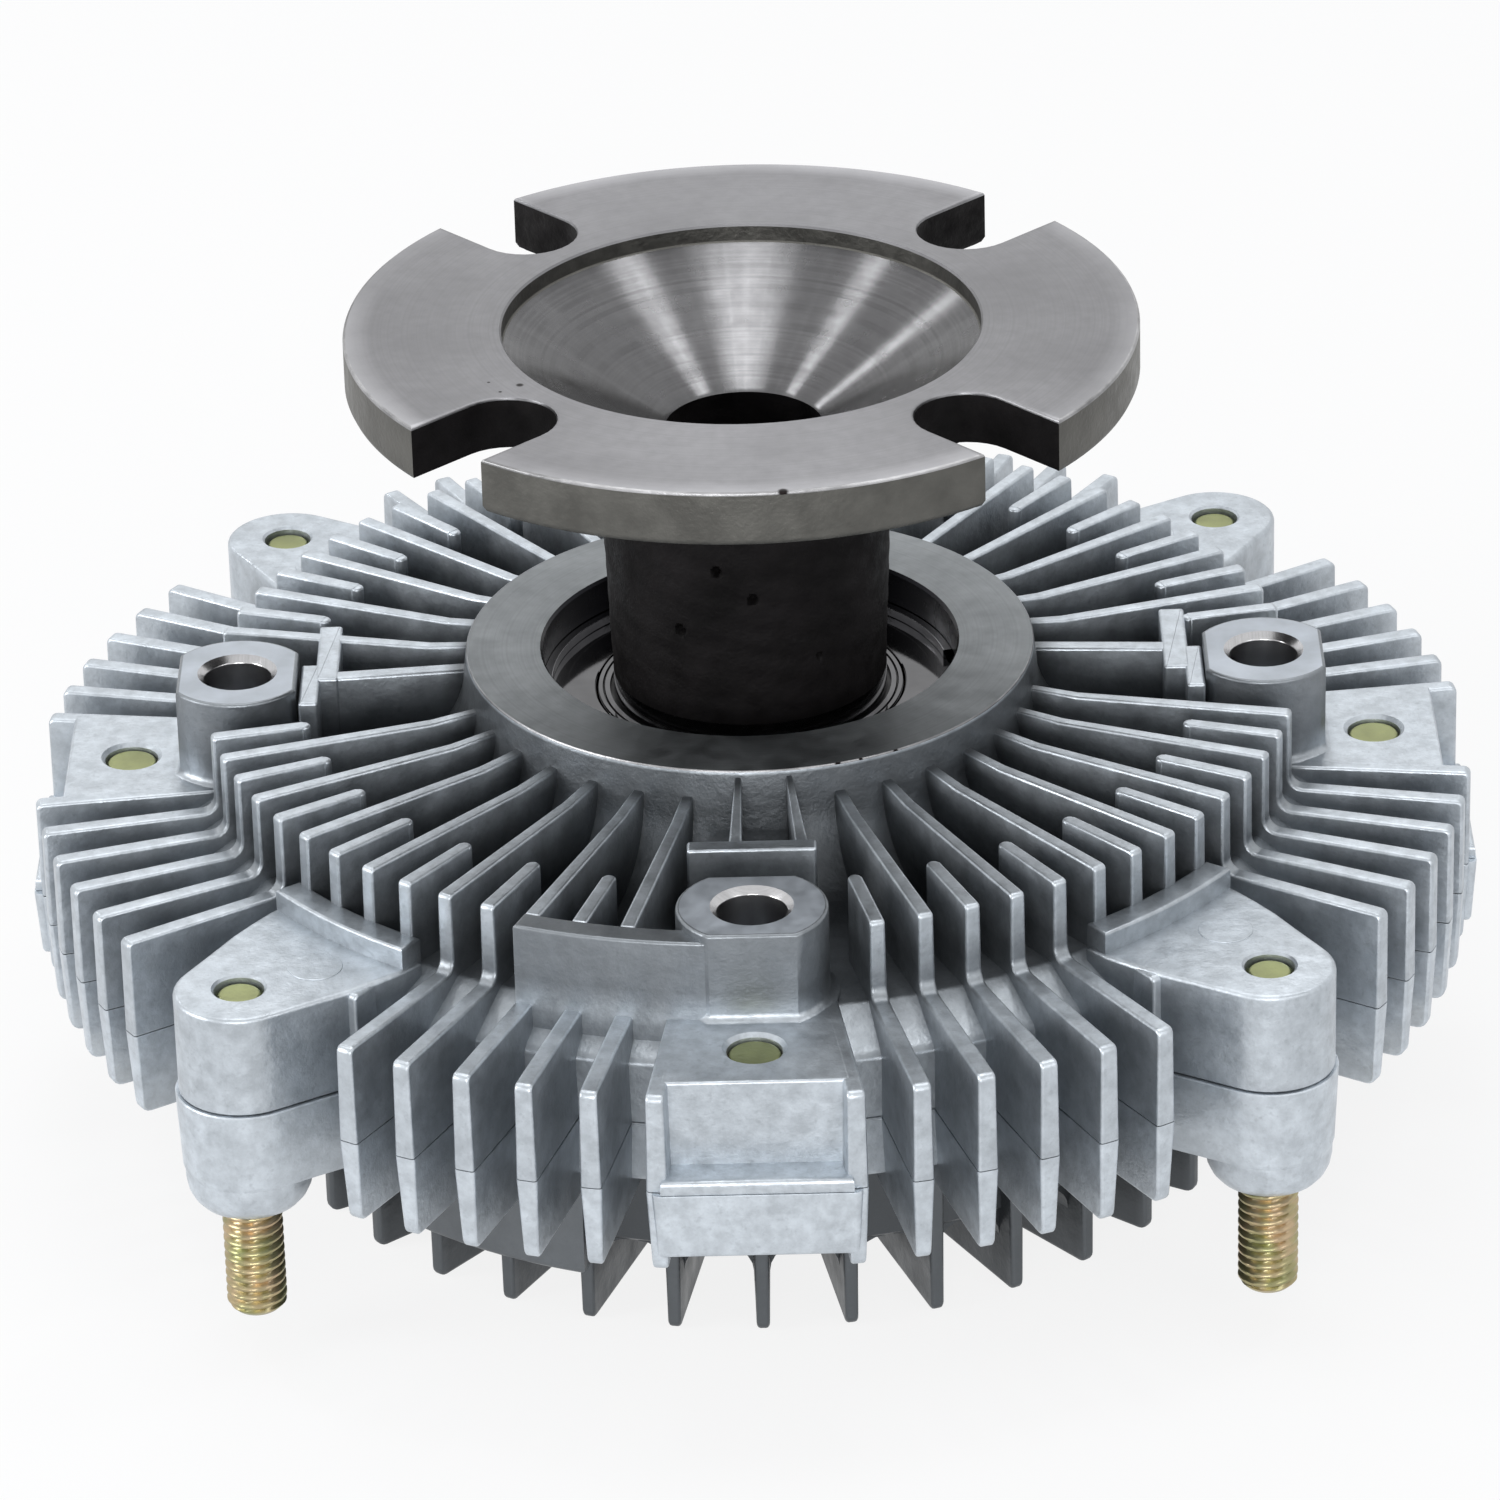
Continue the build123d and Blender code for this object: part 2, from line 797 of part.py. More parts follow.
# Front cover casting
pad = arc_band(
    dome_r - blade_t,
    blade_out_r + pad_t,
    pad_start,
    pad_end,
    seam_z - pad_drop,
    underside_z + blade_t,
)
with BuildPart() as front_cover:
    with BuildSketch(Plane.XZ):
        with BuildLine():
            Polyline(
                (0, seam_z),
                (rim_r, seam_z),
                (rim_r, underside_z + rim_edge),
                (rim_r - rim_edge, underside_z),
                (dome_r, underside_z),
                (dome_r, dome_z + dome_edge),
                (dome_r - dome_edge, dome_z),
                (0, dome_z),
                close=True,
            )
        make_face()
    revolve(axis=Axis.Z)
    with Locations(*[turned(a) for a in free_turns]):
        add(cover_fin)
    with Locations(*[turned(a) for a in stub_turns]):
        add(cover_stub_fin)
    with PolarLocations(0, blade_count):
        add(blade)
    with Locations(*[turned(a) for a in boss_turns]):
        add(cover_flat_lug)
    with Locations(*[turned(a) for a in lug_turns]):
        add(cover_stud_lug)
    add(pad)
    with BuildSketch(Plane.XZ):
        with BuildLine():
            Polyline(
                (0, seam_z),
                (cavity_r, seam_z),
                (cavity_r, pocket_z),
                (reservoir_r, pocket_z),
                (reservoir_r, reservoir_z),
                (valve_boss_r, reservoir_z),
                (valve_boss_r, valve_boss_z),
                (0, valve_boss_z),
                close=True,
            )
        make_face()
    revolve(axis=Axis.Z, mode=Mode.SUBTRACT)
    with BuildSketch(Plane.XY.offset(seam_z)):
        Circle(seal_path_r + seal_groove_w / 2)
        Circle(seal_path_r - seal_groove_w / 2, mode=Mode.SUBTRACT)
    extrude(amount=-seal_groove_depth, mode=Mode.SUBTRACT)
    with BuildSketch(Plane.XY.offset(valve_boss_z)):
        Circle(valve_shaft_r + valve_gap)
    extrude(amount=dome_z - valve_boss_z, mode=Mode.SUBTRACT)
    with BuildSketch(Plane.XY.offset(seam_z)):
        with PolarLocations(flat_lug_r, len(boss_turns)):
            Circle(thread_r + thread_gap)
        with PolarLocations(stud_path_r, len(lug_turns), start_angle=lug_turns[0]):
            Circle(stud_hole_r)
    extrude(amount=stud_seat_z - seam_z, mode=Mode.SUBTRACT)
    with BuildSketch(Plane.XY.offset(head_seat_z)):
        with PolarLocations(flat_lug_r, len(boss_turns)):
            Circle(head_r + head_gap)
    extrude(amount=-cover_lug_drop, mode=Mode.SUBTRACT)
    with BuildSketch(Plane.XY.offset(pocket_z)):
        with PolarLocations(rivet_path_r, rivet_count, start_angle=180 / rivet_count):
            Circle(rivet_r + fit_gap)
    extrude(amount=-rivet_grip, mode=Mode.SUBTRACT)
    with BuildSketch(Plane.XY.offset(dome_z)):
        with Locations((coil_out_r + coil_t / 2, anchor_y)):
            Circle(peg_r + fit_gap)
    extrude(amount=peg_grip, mode=Mode.SUBTRACT)
save(front_cover.part, "front_cover")

# Round seal in the seam
with BuildPart() as seam_seal:
    with Locations((0, 0, seam_z - seal_groove_depth / 2)):
        Torus(seal_path_r, seal_r)
save(seam_seal.part, "seam_seal")

# Disc that the drive hub carries, with its ring-shaped lands
disc_r = cavity_r - disc_side_gap
with BuildPart() as clutch_disc:
    with BuildSketch(Plane.XZ):
        with BuildLine():
            Polyline(
                (disc_bore_r + fit_gap, disc_bottom_z + disc_recess),
                (disc_recess_r, disc_bottom_z + disc_recess),
                (disc_recess_r, disc_bottom_z),
                (disc_r, disc_bottom_z),
                (disc_r, disc_top_z),
                (disc_hub_r, disc_top_z),
                (disc_hub_r, bearing_z),
                (disc_bore_r + fit_gap, bearing_z),
                close=True,
            )
        make_face()
    revolve(axis=Axis.Z)
    with BuildSketch(Plane.XY.offset(disc_top_z)):
        for k in reversed(range(land_count)):
            land_r = first_land_r + (k + 0.5) * land_pitch
            Circle(land_r + land_t / 2)
            Circle(land_r - land_t / 2, mode=Mode.SUBTRACT)
    extrude(amount=land_h)
    with BuildSketch(Plane.XY.offset(disc_bottom_z)):
        with PolarLocations(port_path_r, port_count):
            Circle(port_r)
    extrude(amount=disc_t, mode=Mode.SUBTRACT)
save(clutch_disc.part, "clutch_disc")


def split_ring(inner_r, outer_r, gap_deg, low_z, thickness):
    """Flat ring with one opening, facing +X."""
    half = radians(gap_deg / 2)
    reach = 2 * outer_r
    with BuildPart() as ring:
        with BuildSketch(Plane.XY.offset(low_z)):
            Circle(outer_r)
            Circle(inner_r, mode=Mode.SUBTRACT)
            with BuildLine():
                Polyline(
                    (0, 0),
                    (reach * cos(half), reach * sin(half)),
                    (reach * cos(half), -reach * sin(half)),
                    close=True,
                )
            make_face(mode=Mode.SUBTRACT)
        extrude(amount=thickness)
    return ring.part


# Split rings: bearing in the collar, disc on the shaft, valve shaft in its boss
bearing_clip = split_ring(
    collar_bore_r + clip_groove - clip_w,
    collar_bore_r + clip_groove - running_gap,
    clip_gap_deg,
    bearing_top_z,
    clip_t - running_gap,
)
save(bearing_clip, "bearing_clip")
disc_clip = split_ring(
    disc_bore_r - disc_clip_groove + running_gap,
    disc_clip_r,
    disc_clip_gap_deg,
    disc_clip_z + running_gap,
    disc_clip_t - running_gap,
)
save(disc_clip, "disc_clip")
valve_clip = split_ring(
    valve_shaft_r - valve_clip_groove + running_gap,
    valve_clip_r,
    valve_clip_gap_deg,
    valve_clip_z,
    valve_clip_t,
)
save(valve_clip, "valve_clip")

# Divider plate between the disc and the fluid reservoir
with BuildPart() as divider_plate:
    with BuildSketch(Plane.XY.offset(pocket_z)):
        Circle(cavity_r - plate_gap)
        with PolarLocations(plate_feed_path_r, 2, start_angle=arm_turn):
            Circle(plate_feed_r, mode=Mode.SUBTRACT)
        with PolarLocations(plate_return_path_r, 1, start_angle=wiper_turn + plate_return_turn):
            Circle(plate_return_r, mode=Mode.SUBTRACT)
        with PolarLocations(rivet_path_r, rivet_count, start_angle=180 / rivet_count):
            Circle(rivet_r + fit_gap, mode=Mode.SUBTRACT)
        with PolarLocations(wiper_path_r, 1, start_angle=wiper_turn):
            Circle(wiper_pin_r + fit_gap, mode=Mode.SUBTRACT)
    extrude(amount=plate_t)
save(divider_plate.part, "divider_plate")

with BuildPart() as plate_rivets:
    with BuildSketch(Plane.XY.offset(pocket_z - rivet_grip)):
        with PolarLocations(rivet_path_r, rivet_count, start_angle=180 / rivet_count):
            Circle(rivet_r)
    extrude(amount=rivet_grip + plate_t)
    with BuildSketch(Plane.XY.offset(plate_top_z)):
        with PolarLocations(rivet_path_r, rivet_count, start_angle=180 / rivet_count):
            Circle(rivet_head_r)
    extrude(amount=rivet_head_h)
save(plate_rivets.part, "plate_rivets")

with BuildPart() as fluid_wiper:
    with BuildSketch(Plane.XY.offset(plate_top_z)):
        with PolarLocations(wiper_path_r, 1, start_angle=wiper_turn):
            Rectangle(wiper_l, wiper_w)
    extrude(amount=wiper_h)
    with BuildSketch(Plane.XY.offset(pocket_z)):
        with PolarLocations(wiper_path_r, 1, start_angle=wiper_turn):
            Circle(wiper_pin_r)
    extrude(amount=plate_t)
save(fluid_wiper.part, "fluid_wiper")

# Valve shaft, its arm over the feed holes and its seal
ring_z = seam_z - ring_drop
with BuildPart() as valve_shaft:
    with BuildSketch(Plane.XZ):
        with BuildLine():
            Polyline(
                (0, valve_end_z),
                (valve_shaft_r, valve_end_z),
                (valve_shaft_r, dome_z - running_gap - valve_collar_t),
                (valve_collar_r, dome_z - running_gap - valve_collar_t),
                (valve_collar_r, dome_z - running_gap),
                (valve_shaft_r, dome_z - running_gap),
                (valve_shaft_r, ring_z - ring_groove_w / 2),
                (valve_shaft_r - ring_groove, ring_z - ring_groove_w / 2),
                (valve_shaft_r - ring_groove, ring_z + ring_groove_w / 2),
                (valve_shaft_r, ring_z + ring_groove_w / 2),
                (valve_shaft_r, valve_clip_z),
                (valve_shaft_r - valve_clip_groove, valve_clip_z),
                (valve_shaft_r - valve_clip_groove, valve_clip_z + valve_clip_t),
                (valve_shaft_r, valve_clip_z + valve_clip_t),
                (valve_shaft_r, arm_bottom_z),
                (valve_tip_r, arm_bottom_z),
                (valve_tip_r, arm_top_z),
                (0, arm_top_z),
                close=True,
            )
        make_face()
    revolve(axis=Axis.Z)
    with BuildSketch(Plane.XY.offset(valve_end_z)):
        Rectangle(2 * valve_collar_r, coil_t + 2 * running_gap)
    extrude(amount=coil_w + coil_above_end, mode=Mode.SUBTRACT)
save(valve_shaft.part, "valve_shaft")

with BuildPart() as valve_arm:
    with BuildSketch(Plane.XY.offset(arm_bottom_z)):
        Circle(arm_hub_r)
        SlotOverall(2 * arm_reach, arm_w, rotation=arm_turn)
        Circle(valve_tip_r + fit_gap, mode=Mode.SUBTRACT)
    extrude(amount=arm_t)
save(valve_arm.part, "valve_arm")

with BuildPart() as valve_seal:
    with Locations((0, 0, ring_z)):
        Torus(valve_shaft_r - ring_r, ring_r)
save(valve_seal.part, "valve_seal")

# Bimetal coil: half turns of growing radius, then a straight tail into the anchor
half_turns = 2 * coil_turns
with BuildPart() as bimetal_coil:
    with BuildSketch(Plane.XY.offset(coil_top_z)):
        with BuildLine():
            for face_r in (coil_start_r, coil_start_r + coil_t):
                for k in range(half_turns):
                    half_r = face_r + k * coil_pitch / 2
                    half_centre = (k % 2) * coil_pitch / 2
                    CenterArc((half_centre, 0), half_r, 180 * k, 180)
            Line((coil_start_r, 0), (coil_start_r + coil_t, 0))
            Polyline(
                (coil_out_r, 0),
                (coil_out_r, coil_tail),
                (coil_out_r + coil_t, coil_tail),
                (coil_out_r + coil_t, 0),
            )
        make_face()
    extrude(amount=-coil_w)
save(bimetal_coil.part, "bimetal_coil")

with BuildPart() as coil_anchor:
    with BuildSketch(Plane.XY.offset(dome_z)):
        with Locations((coil_out_r + coil_t / 2, anchor_y)):
            Rectangle(anchor_w, anchor_l)
    extrude(amount=coil_top_z - coil_w - dome_z)
    with BuildSketch(Plane.XY.offset(coil_top_z + running_gap)):
        with Locations((coil_out_r + coil_t / 2, anchor_y)):
            Rectangle(coil_t + 2 * running_gap, anchor_l)
    extrude(amount=-coil_w - 2 * running_gap, mode=Mode.SUBTRACT)
    with BuildSketch(Plane.XY.offset(dome_z)):
        with Locations((coil_out_r + coil_t / 2, anchor_y)):
            Circle(peg_r)
    extrude(amount=peg_grip)
save(coil_anchor.part, "coil_anchor")

# Fan studs and the screws that close the seam
stud_end_z = seam_z - stud_drop
with BuildPart() as fan_studs:
    with BuildSketch(Plane.XY.offset(stud_end_z)):
        with PolarLocations(stud_path_r, len(lug_turns), start_angle=lug_turns[0]):
            Circle(thread_r)
    extrude(amount=stud_seat_z - stud_end_z)
    chamfer(fan_studs.faces().sort_by(Axis.Z)[: len(lug_turns)].edges(), stud_end_chamfer)
    with BuildSketch(Plane.XY.offset(stud_seat_z)):
        with PolarLocations(stud_path_r, len(lug_turns), start_angle=lug_turns[0]):
            Circle(shank_r)
    extrude(amount=stud_lug_z - tip_below_mouth - stud_seat_z)
save(fan_studs.part, "fan_studs")

with BuildPart() as seam_screws:
    with BuildSketch(Plane.XY.offset(head_seat_z)):
        with PolarLocations(flat_lug_r, len(boss_turns)):
            Circle(head_r)
    extrude(amount=-head_h)
    with BuildSketch(Plane.XY.offset(head_seat_z)):
        with PolarLocations(flat_lug_r, len(boss_turns)):
            Circle(thread_r)
    extrude(amount=lug_z - mouth_depth - running_gap - head_seat_z)
    with BuildSketch(Plane.XY.offset(lug_z - mouth_depth - running_gap)):
        with PolarLocations(flat_lug_r, len(boss_turns)):
            Circle(thread_tip_r)
    extrude(amount=mouth_depth + running_gap - tip_below_mouth)
    with BuildSketch(Plane.XY.offset(head_seat_z - head_h)):
        with PolarLocations(flat_lug_r, len(boss_turns)):
            RegularPolygon(socket_r, 6)
    extrude(amount=socket_depth, mode=Mode.SUBTRACT)
save(seam_screws.part, "seam_screws")
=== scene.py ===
"""Viscous fan clutch: finned castings, driving flange, bearing face, studs and front coil.

Laid out as an add-on. Lengths in the making functions are millimetres from the seam
plane, with +Z towards the flange, and become metres in the frame when a piece is finished.
"""
from functools import partial
from math import atan2, cos, degrees, hypot, pi, radians, sin, sqrt, tan

import bmesh
import bpy
from bpy.props import FloatProperty, FloatVectorProperty, IntProperty, PointerProperty
from mathutils import Euler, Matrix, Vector


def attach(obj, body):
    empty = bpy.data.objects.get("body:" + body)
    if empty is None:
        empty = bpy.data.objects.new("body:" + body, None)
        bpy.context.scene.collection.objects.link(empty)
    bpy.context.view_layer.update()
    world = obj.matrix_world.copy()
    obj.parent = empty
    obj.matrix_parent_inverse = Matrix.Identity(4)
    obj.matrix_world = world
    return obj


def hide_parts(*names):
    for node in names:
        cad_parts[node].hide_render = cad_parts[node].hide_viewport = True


bl_info = {
    "name": "Viscous fan clutch",
    "version": (1, 0, 0),
    "blender": (4, 5, 0),
    "location": "View3D > Sidebar > Fan Clutch",
    "description": "Builds the visible pieces of a viscous fan clutch round its CAD frame",
    "category": "Object",
}

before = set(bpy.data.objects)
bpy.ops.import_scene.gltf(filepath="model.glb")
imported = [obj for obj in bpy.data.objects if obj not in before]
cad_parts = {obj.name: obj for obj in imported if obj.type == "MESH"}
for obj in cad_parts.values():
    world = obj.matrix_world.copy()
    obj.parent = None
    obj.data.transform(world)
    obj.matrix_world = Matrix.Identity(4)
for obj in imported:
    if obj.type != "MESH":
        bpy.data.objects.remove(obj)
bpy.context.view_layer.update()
MM = 0.001
SEAM = 29.2

# Heights above the seam; the upper walls start at FOOT_Z, inside the shell
COLLAR_Z = 22.25
BOSS_Z = 19.9
FIN_Z = 18.9
LUG_Z = 10.5
STUD_LUG_Z = 10.75
FLOOR_Z = 9.9
FOOT_Z = 9.0
FLANGE_Z = 58.0

# Distances from the shaft axis: roots of the long and short fins, ends of the upper and lower
# fins and of the stubs, and the circles that the bosses, screws and studs stand on
ROOT_R = 28.6
SHORT_ROOT_R = 46.5
UPPER_R = 56.0
LOWER_R = 73.8
STUB_R = 65.0
BOSS_R = 52.6
SCREW_R = 64.0
STUD_R = 71.1

# The two castings stop this short of the seam, and their fins' outlines run this far past it
SEAM_GAP = 0.05
SUNK = -0.2

# Walls that cross each other end at slightly different heights, so that no two tops coincide
STEP = 0.03

# Cove round the foot of the collar, and the rise of the fins towards it
COVE_R = 9.7
FIN_LIFT = 0.55

# Directions of like pieces
FIN_PITCH = 5.0
BOSS_TURNS = (0, 90, 180, 270)
LUG_TURNS = (45, 135, 225, 315)
FIN_TURNS = [FIN_PITCH * (k + 0.5) for k in range(72)]


def apart(angle, centre):
    """Smallest angle between two directions."""
    return abs((angle - centre + 180) % 360 - 180)


def nearest(angle, centres):
    """Angle from a direction to the nearest of the centres."""
    return min(apart(angle, centre) for centre in centres)


# Turns of the long fins, of those with an upper part and of those with a lower part
LUG_REACH = 1.7 * FIN_PITCH
LONG_TURNS = [a for a in FIN_TURNS if round(a / FIN_PITCH - 0.5) % 2 == 1]
UPPER_TURNS = [a for a in FIN_TURNS if nearest(a, BOSS_TURNS) > LUG_REACH]
FREE_TURNS = [
    a for a in FIN_TURNS if nearest(a, BOSS_TURNS) > FIN_PITCH and nearest(a, LUG_TURNS) > LUG_REACH
]
STUB_TURNS = (52.5, 127.5, 232.5, 307.5)

# Half-width of a flat lug for each millimetre from the axis
LUG_SINE = sin(radians(7.5))

# Blades on the front face, and the round arches between their roots
BLADE_COUNT = 36
BLADE_T = 1.8
ARCH_R = 3.0

# Driving flange: its radius and thickness, the mouth of the cone, and the open slots
FLANGE_R = 40.0
FLANGE_T = 5.8
CONE_R = 24.5
SLOT_R = 31.9
SLOT_HALF = 5.1
SLOT_TURN = 43.4


# Outlines in a plane


def arc(centre, radius, start, end, steps):
    """Points along an arc, ends included."""
    return [
        (
            centre[0] + radius * cos(radians(start + (end - start) * k / steps)),
            centre[1] + radius * sin(radians(start + (end - start) * k / steps)),
        )
        for k in range(steps + 1)
    ]


def circle(centre, radius, steps):
    """Closed round outline."""
    return arc(centre, radius, 0, 360 * (steps - 1) / steps, steps - 1)


def rounded(corners, steps=4):
    """Outline from corners (x, y, radius), each corner rounded by its radius."""
    points = []
    count = len(corners)
    for k in range(count):
        x, y, radius = corners[k]
        if radius <= 0:
            points.append((x, y))
            continue
        here = Vector((x, y))
        back = (Vector(corners[k - 1][:2]) - here).normalized()
        ahead = (Vector(corners[(k + 1) % count][:2]) - here).normalized()
        half = back.angle(ahead) / 2
        reach = radius / tan(half)
        middle = here + (back + ahead).normalized() * (radius / sin(half))
        first = here + back * reach - middle
        last = here + ahead * reach - middle
        turn = (atan2(last.y, last.x) - atan2(first.y, first.x) + pi) % (2 * pi) - pi
        base = atan2(first.y, first.x)
        for s in range(steps + 1):
            angle = base + turn * s / steps
            points.append((middle.x + radius * cos(angle), middle.y + radius * sin(angle)))
    return points


def signed_area(points):
    """Area of an outline, positive when it runs counter-clockwise."""
    return 0.5 * sum(
        points[k - 1][0] * points[k][1] - points[k][0] * points[k - 1][1] for k in range(len(points))
    )


def inset(points, distance):
    """Outline moved inwards by a distance; a negative one moves it outwards."""
    if abs(distance) < 1e-9:
        return list(points)
    side = 1 if signed_area(points) > 0 else -1
    count = len(points)
    moved = []
    for k in range(count):
        here = Vector(points[k])
        back = (here - Vector(points[k - 1])).normalized()
        ahead = (Vector(points[(k + 1) % count]) - here).normalized()
        normal = Vector((-back.y - ahead.y, back.x + ahead.x)) * side
        if normal.length < 1e-6:
            normal = Vector((-back.y, back.x)) * side
        normal.normalize()
        share = max(0.35, normal.dot(Vector((-back.y, back.x)) * side))
        spot = here + normal * (distance / share)
        moved.append((spot.x, spot.y))
    return moved


def round_levels(low, high, low_edge, high_edge, steps=3):
    """Levels (height, inset) of a wall whose two rims are rounded."""
    levels = []
    if low_edge > 0:
        for k in range(steps):
            a = radians(90 * k / steps)
            levels.append((low + low_edge * (1 - cos(a)), low_edge * (1 - sin(a))))
    levels.append((low + max(low_edge, 0), 0))
    levels.append((high - max(high_edge, 0), 0))
    if high_edge > 0:
        for k in reversed(range(steps)):
            a = radians(90 * k / steps)
            levels.append((high - high_edge * (1 - cos(a)), high_edge * (1 - sin(a))))
    return levels


def foot_levels(base, radius, steps=4):
    """Levels of the hollow fillet where a wall meets the face that it stands on."""
    levels = []
    for k in range(steps):
        a = radians(90 * k / steps)
        levels.append((base + radius * (1 - cos(a)), -radius * (1 - sin(a))))
    return levels


# Solids in a mesh being made


def upright(angle=0.0):
    """Placement of a plan outline: (u, v, height) turned about the shaft axis."""
    c, s = cos(radians(angle)), sin(radians(angle))
    return lambda u, v, h: Vector((u * c - v * s, u * s + v * c, h))


def on_radius(angle, width=None, floor_z=-99.0, roof_z=99.0):
    """Placement of an outline of (radius, height), as thick as width(radius, height) says.

    What would pass the floor or the roof is pressed flat there, so that edge stays crisp.
    """
    c, s = cos(radians(angle)), sin(radians(angle))

    def place(u, v, h):
        t = h * (width(u, v) if width else 1)
        return Vector((u * c - t * s, u * s + t * c, min(max(v, floor_z), roof_z)))

    return place


def ring(bm, points, height, place):
    """Vertices of one level."""
    return [bm.verts.new(place(p[0], p[1], height)) for p in points]


def skin(bm, rings, mat=0):
    """Faces between rings of equal count."""
    faces = []
    for low, high in zip(rings, rings[1:]):
        count = len(low)
        for k in range(count):
            j = (k + 1) % count
            quad = (low[k], low[j], high[j], high[k])
            corners = [v for n, v in enumerate(quad) if v not in quad[:n]]
            if len(corners) > 2:
                faces.append(bm.faces.new(corners))
                faces[-1].material_index = mat
    return faces


def fill(bm, loops, mat=0):
    """Flat face between an outer loop and the loops of its holes."""
    if len(loops) == 1:
        face = bm.faces.new(loops[0])
        face.material_index = mat
        return
    edges = []
    for loop in loops:
        for k in range(len(loop)):
            edges.append(bm.edges.get((loop[k - 1], loop[k])) or bm.edges.new((loop[k - 1], loop[k])))
    made = bmesh.ops.triangle_fill(bm, use_beauty=True, use_dissolve=False, edges=edges)
    for item in made["geom"]:
        if isinstance(item, bmesh.types.BMFace):
            item.material_index = mat


def pillar(bm, outline, levels, place, mat=0, cap_mat=None, holes=(), low_holes=()):
    """Closed solid over an outline, with an inset at each level.

    Each hole is (centre, [(radius, height), ...]) from its mouth inwards and ends in a point or
    a flat bottom; holes open at the top level, low_holes at the first one.
    """
    rings = [ring(bm, inset(outline, d), h, place) for h, d in levels]
    skin(bm, rings, mat)
    cap_mat = mat if cap_mat is None else cap_mat
    mouths = {0: [], -1: []}
    for end, group in ((-1, holes), (0, low_holes)):
        for centre, steps, hole_mat in group:
            walls = [ring(bm, circle(centre, r, 32), h, place) for r, h in steps]
            skin(bm, walls, hole_mat)
            fill(bm, [walls[-1]], hole_mat)
            mouths[end].append(walls[0])
    fill(bm, [rings[0]] + mouths[0], cap_mat)
    fill(bm, [rings[-1]] + mouths[-1], cap_mat)


def lathe(bm, profile, mats=None, steps=240, warp=None, closed=True):
    """Solid of revolution from a closed profile of (radius, height)."""
    turns = [2 * pi * k / steps for k in range(steps)]
    rings = []
    for r, z in profile:
        if r < 1e-6:
            rings.append([bm.verts.new((0, 0, z))] * steps)
            continue
        level = []
        for a in turns:
            spot = Vector((r * cos(a), r * sin(a), z))
            level.append(bm.verts.new(warp(spot) if warp else spot))
        rings.append(level)
    last = len(rings) if closed else len(rings) - 1
    for k in range(last):
        pair = (rings[k], rings[(k + 1) % len(rings)])
        if pair[0][0] is pair[0][1] and pair[1][0] is pair[1][1]:
            continue
        skin(bm, pair, mats[k] if mats else 0)


def finish(bm, name, body, finish_names, node, sharp=32.0):
    """Turns the mesh into a piece in the frame, in metres, that stands for a CAD node."""
    bmesh.ops.recalc_face_normals(bm, faces=bm.faces)
    for v in bm.verts:
        v.co = Vector((v.co.x, v.co.y, v.co.z + SEAM)) * MM
    mesh = bpy.data.meshes.new(name)
    bm.to_mesh(mesh)
    bm.free()
    for finish_name in finish_names:
        mesh.materials.append(look_of(finish_name))
    mesh.polygons.foreach_set("use_smooth", [True] * len(mesh.polygons))
    mesh.set_sharp_from_angle(angle=radians(sharp))
    piece = bpy.data.objects.new(name, mesh)
    bpy.context.scene.collection.objects.link(piece)
    modifier = piece.modifiers.new("Flat faces", "WEIGHTED_NORMAL")
    modifier.keep_sharp = True
    modifier.weight = 80
    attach(piece, body)
    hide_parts(node)


# Material nodes


def shade(colour, factor):
    """A colour made darker or lighter."""
    return tuple(min(1.0, c * factor) for c in colour[:3])


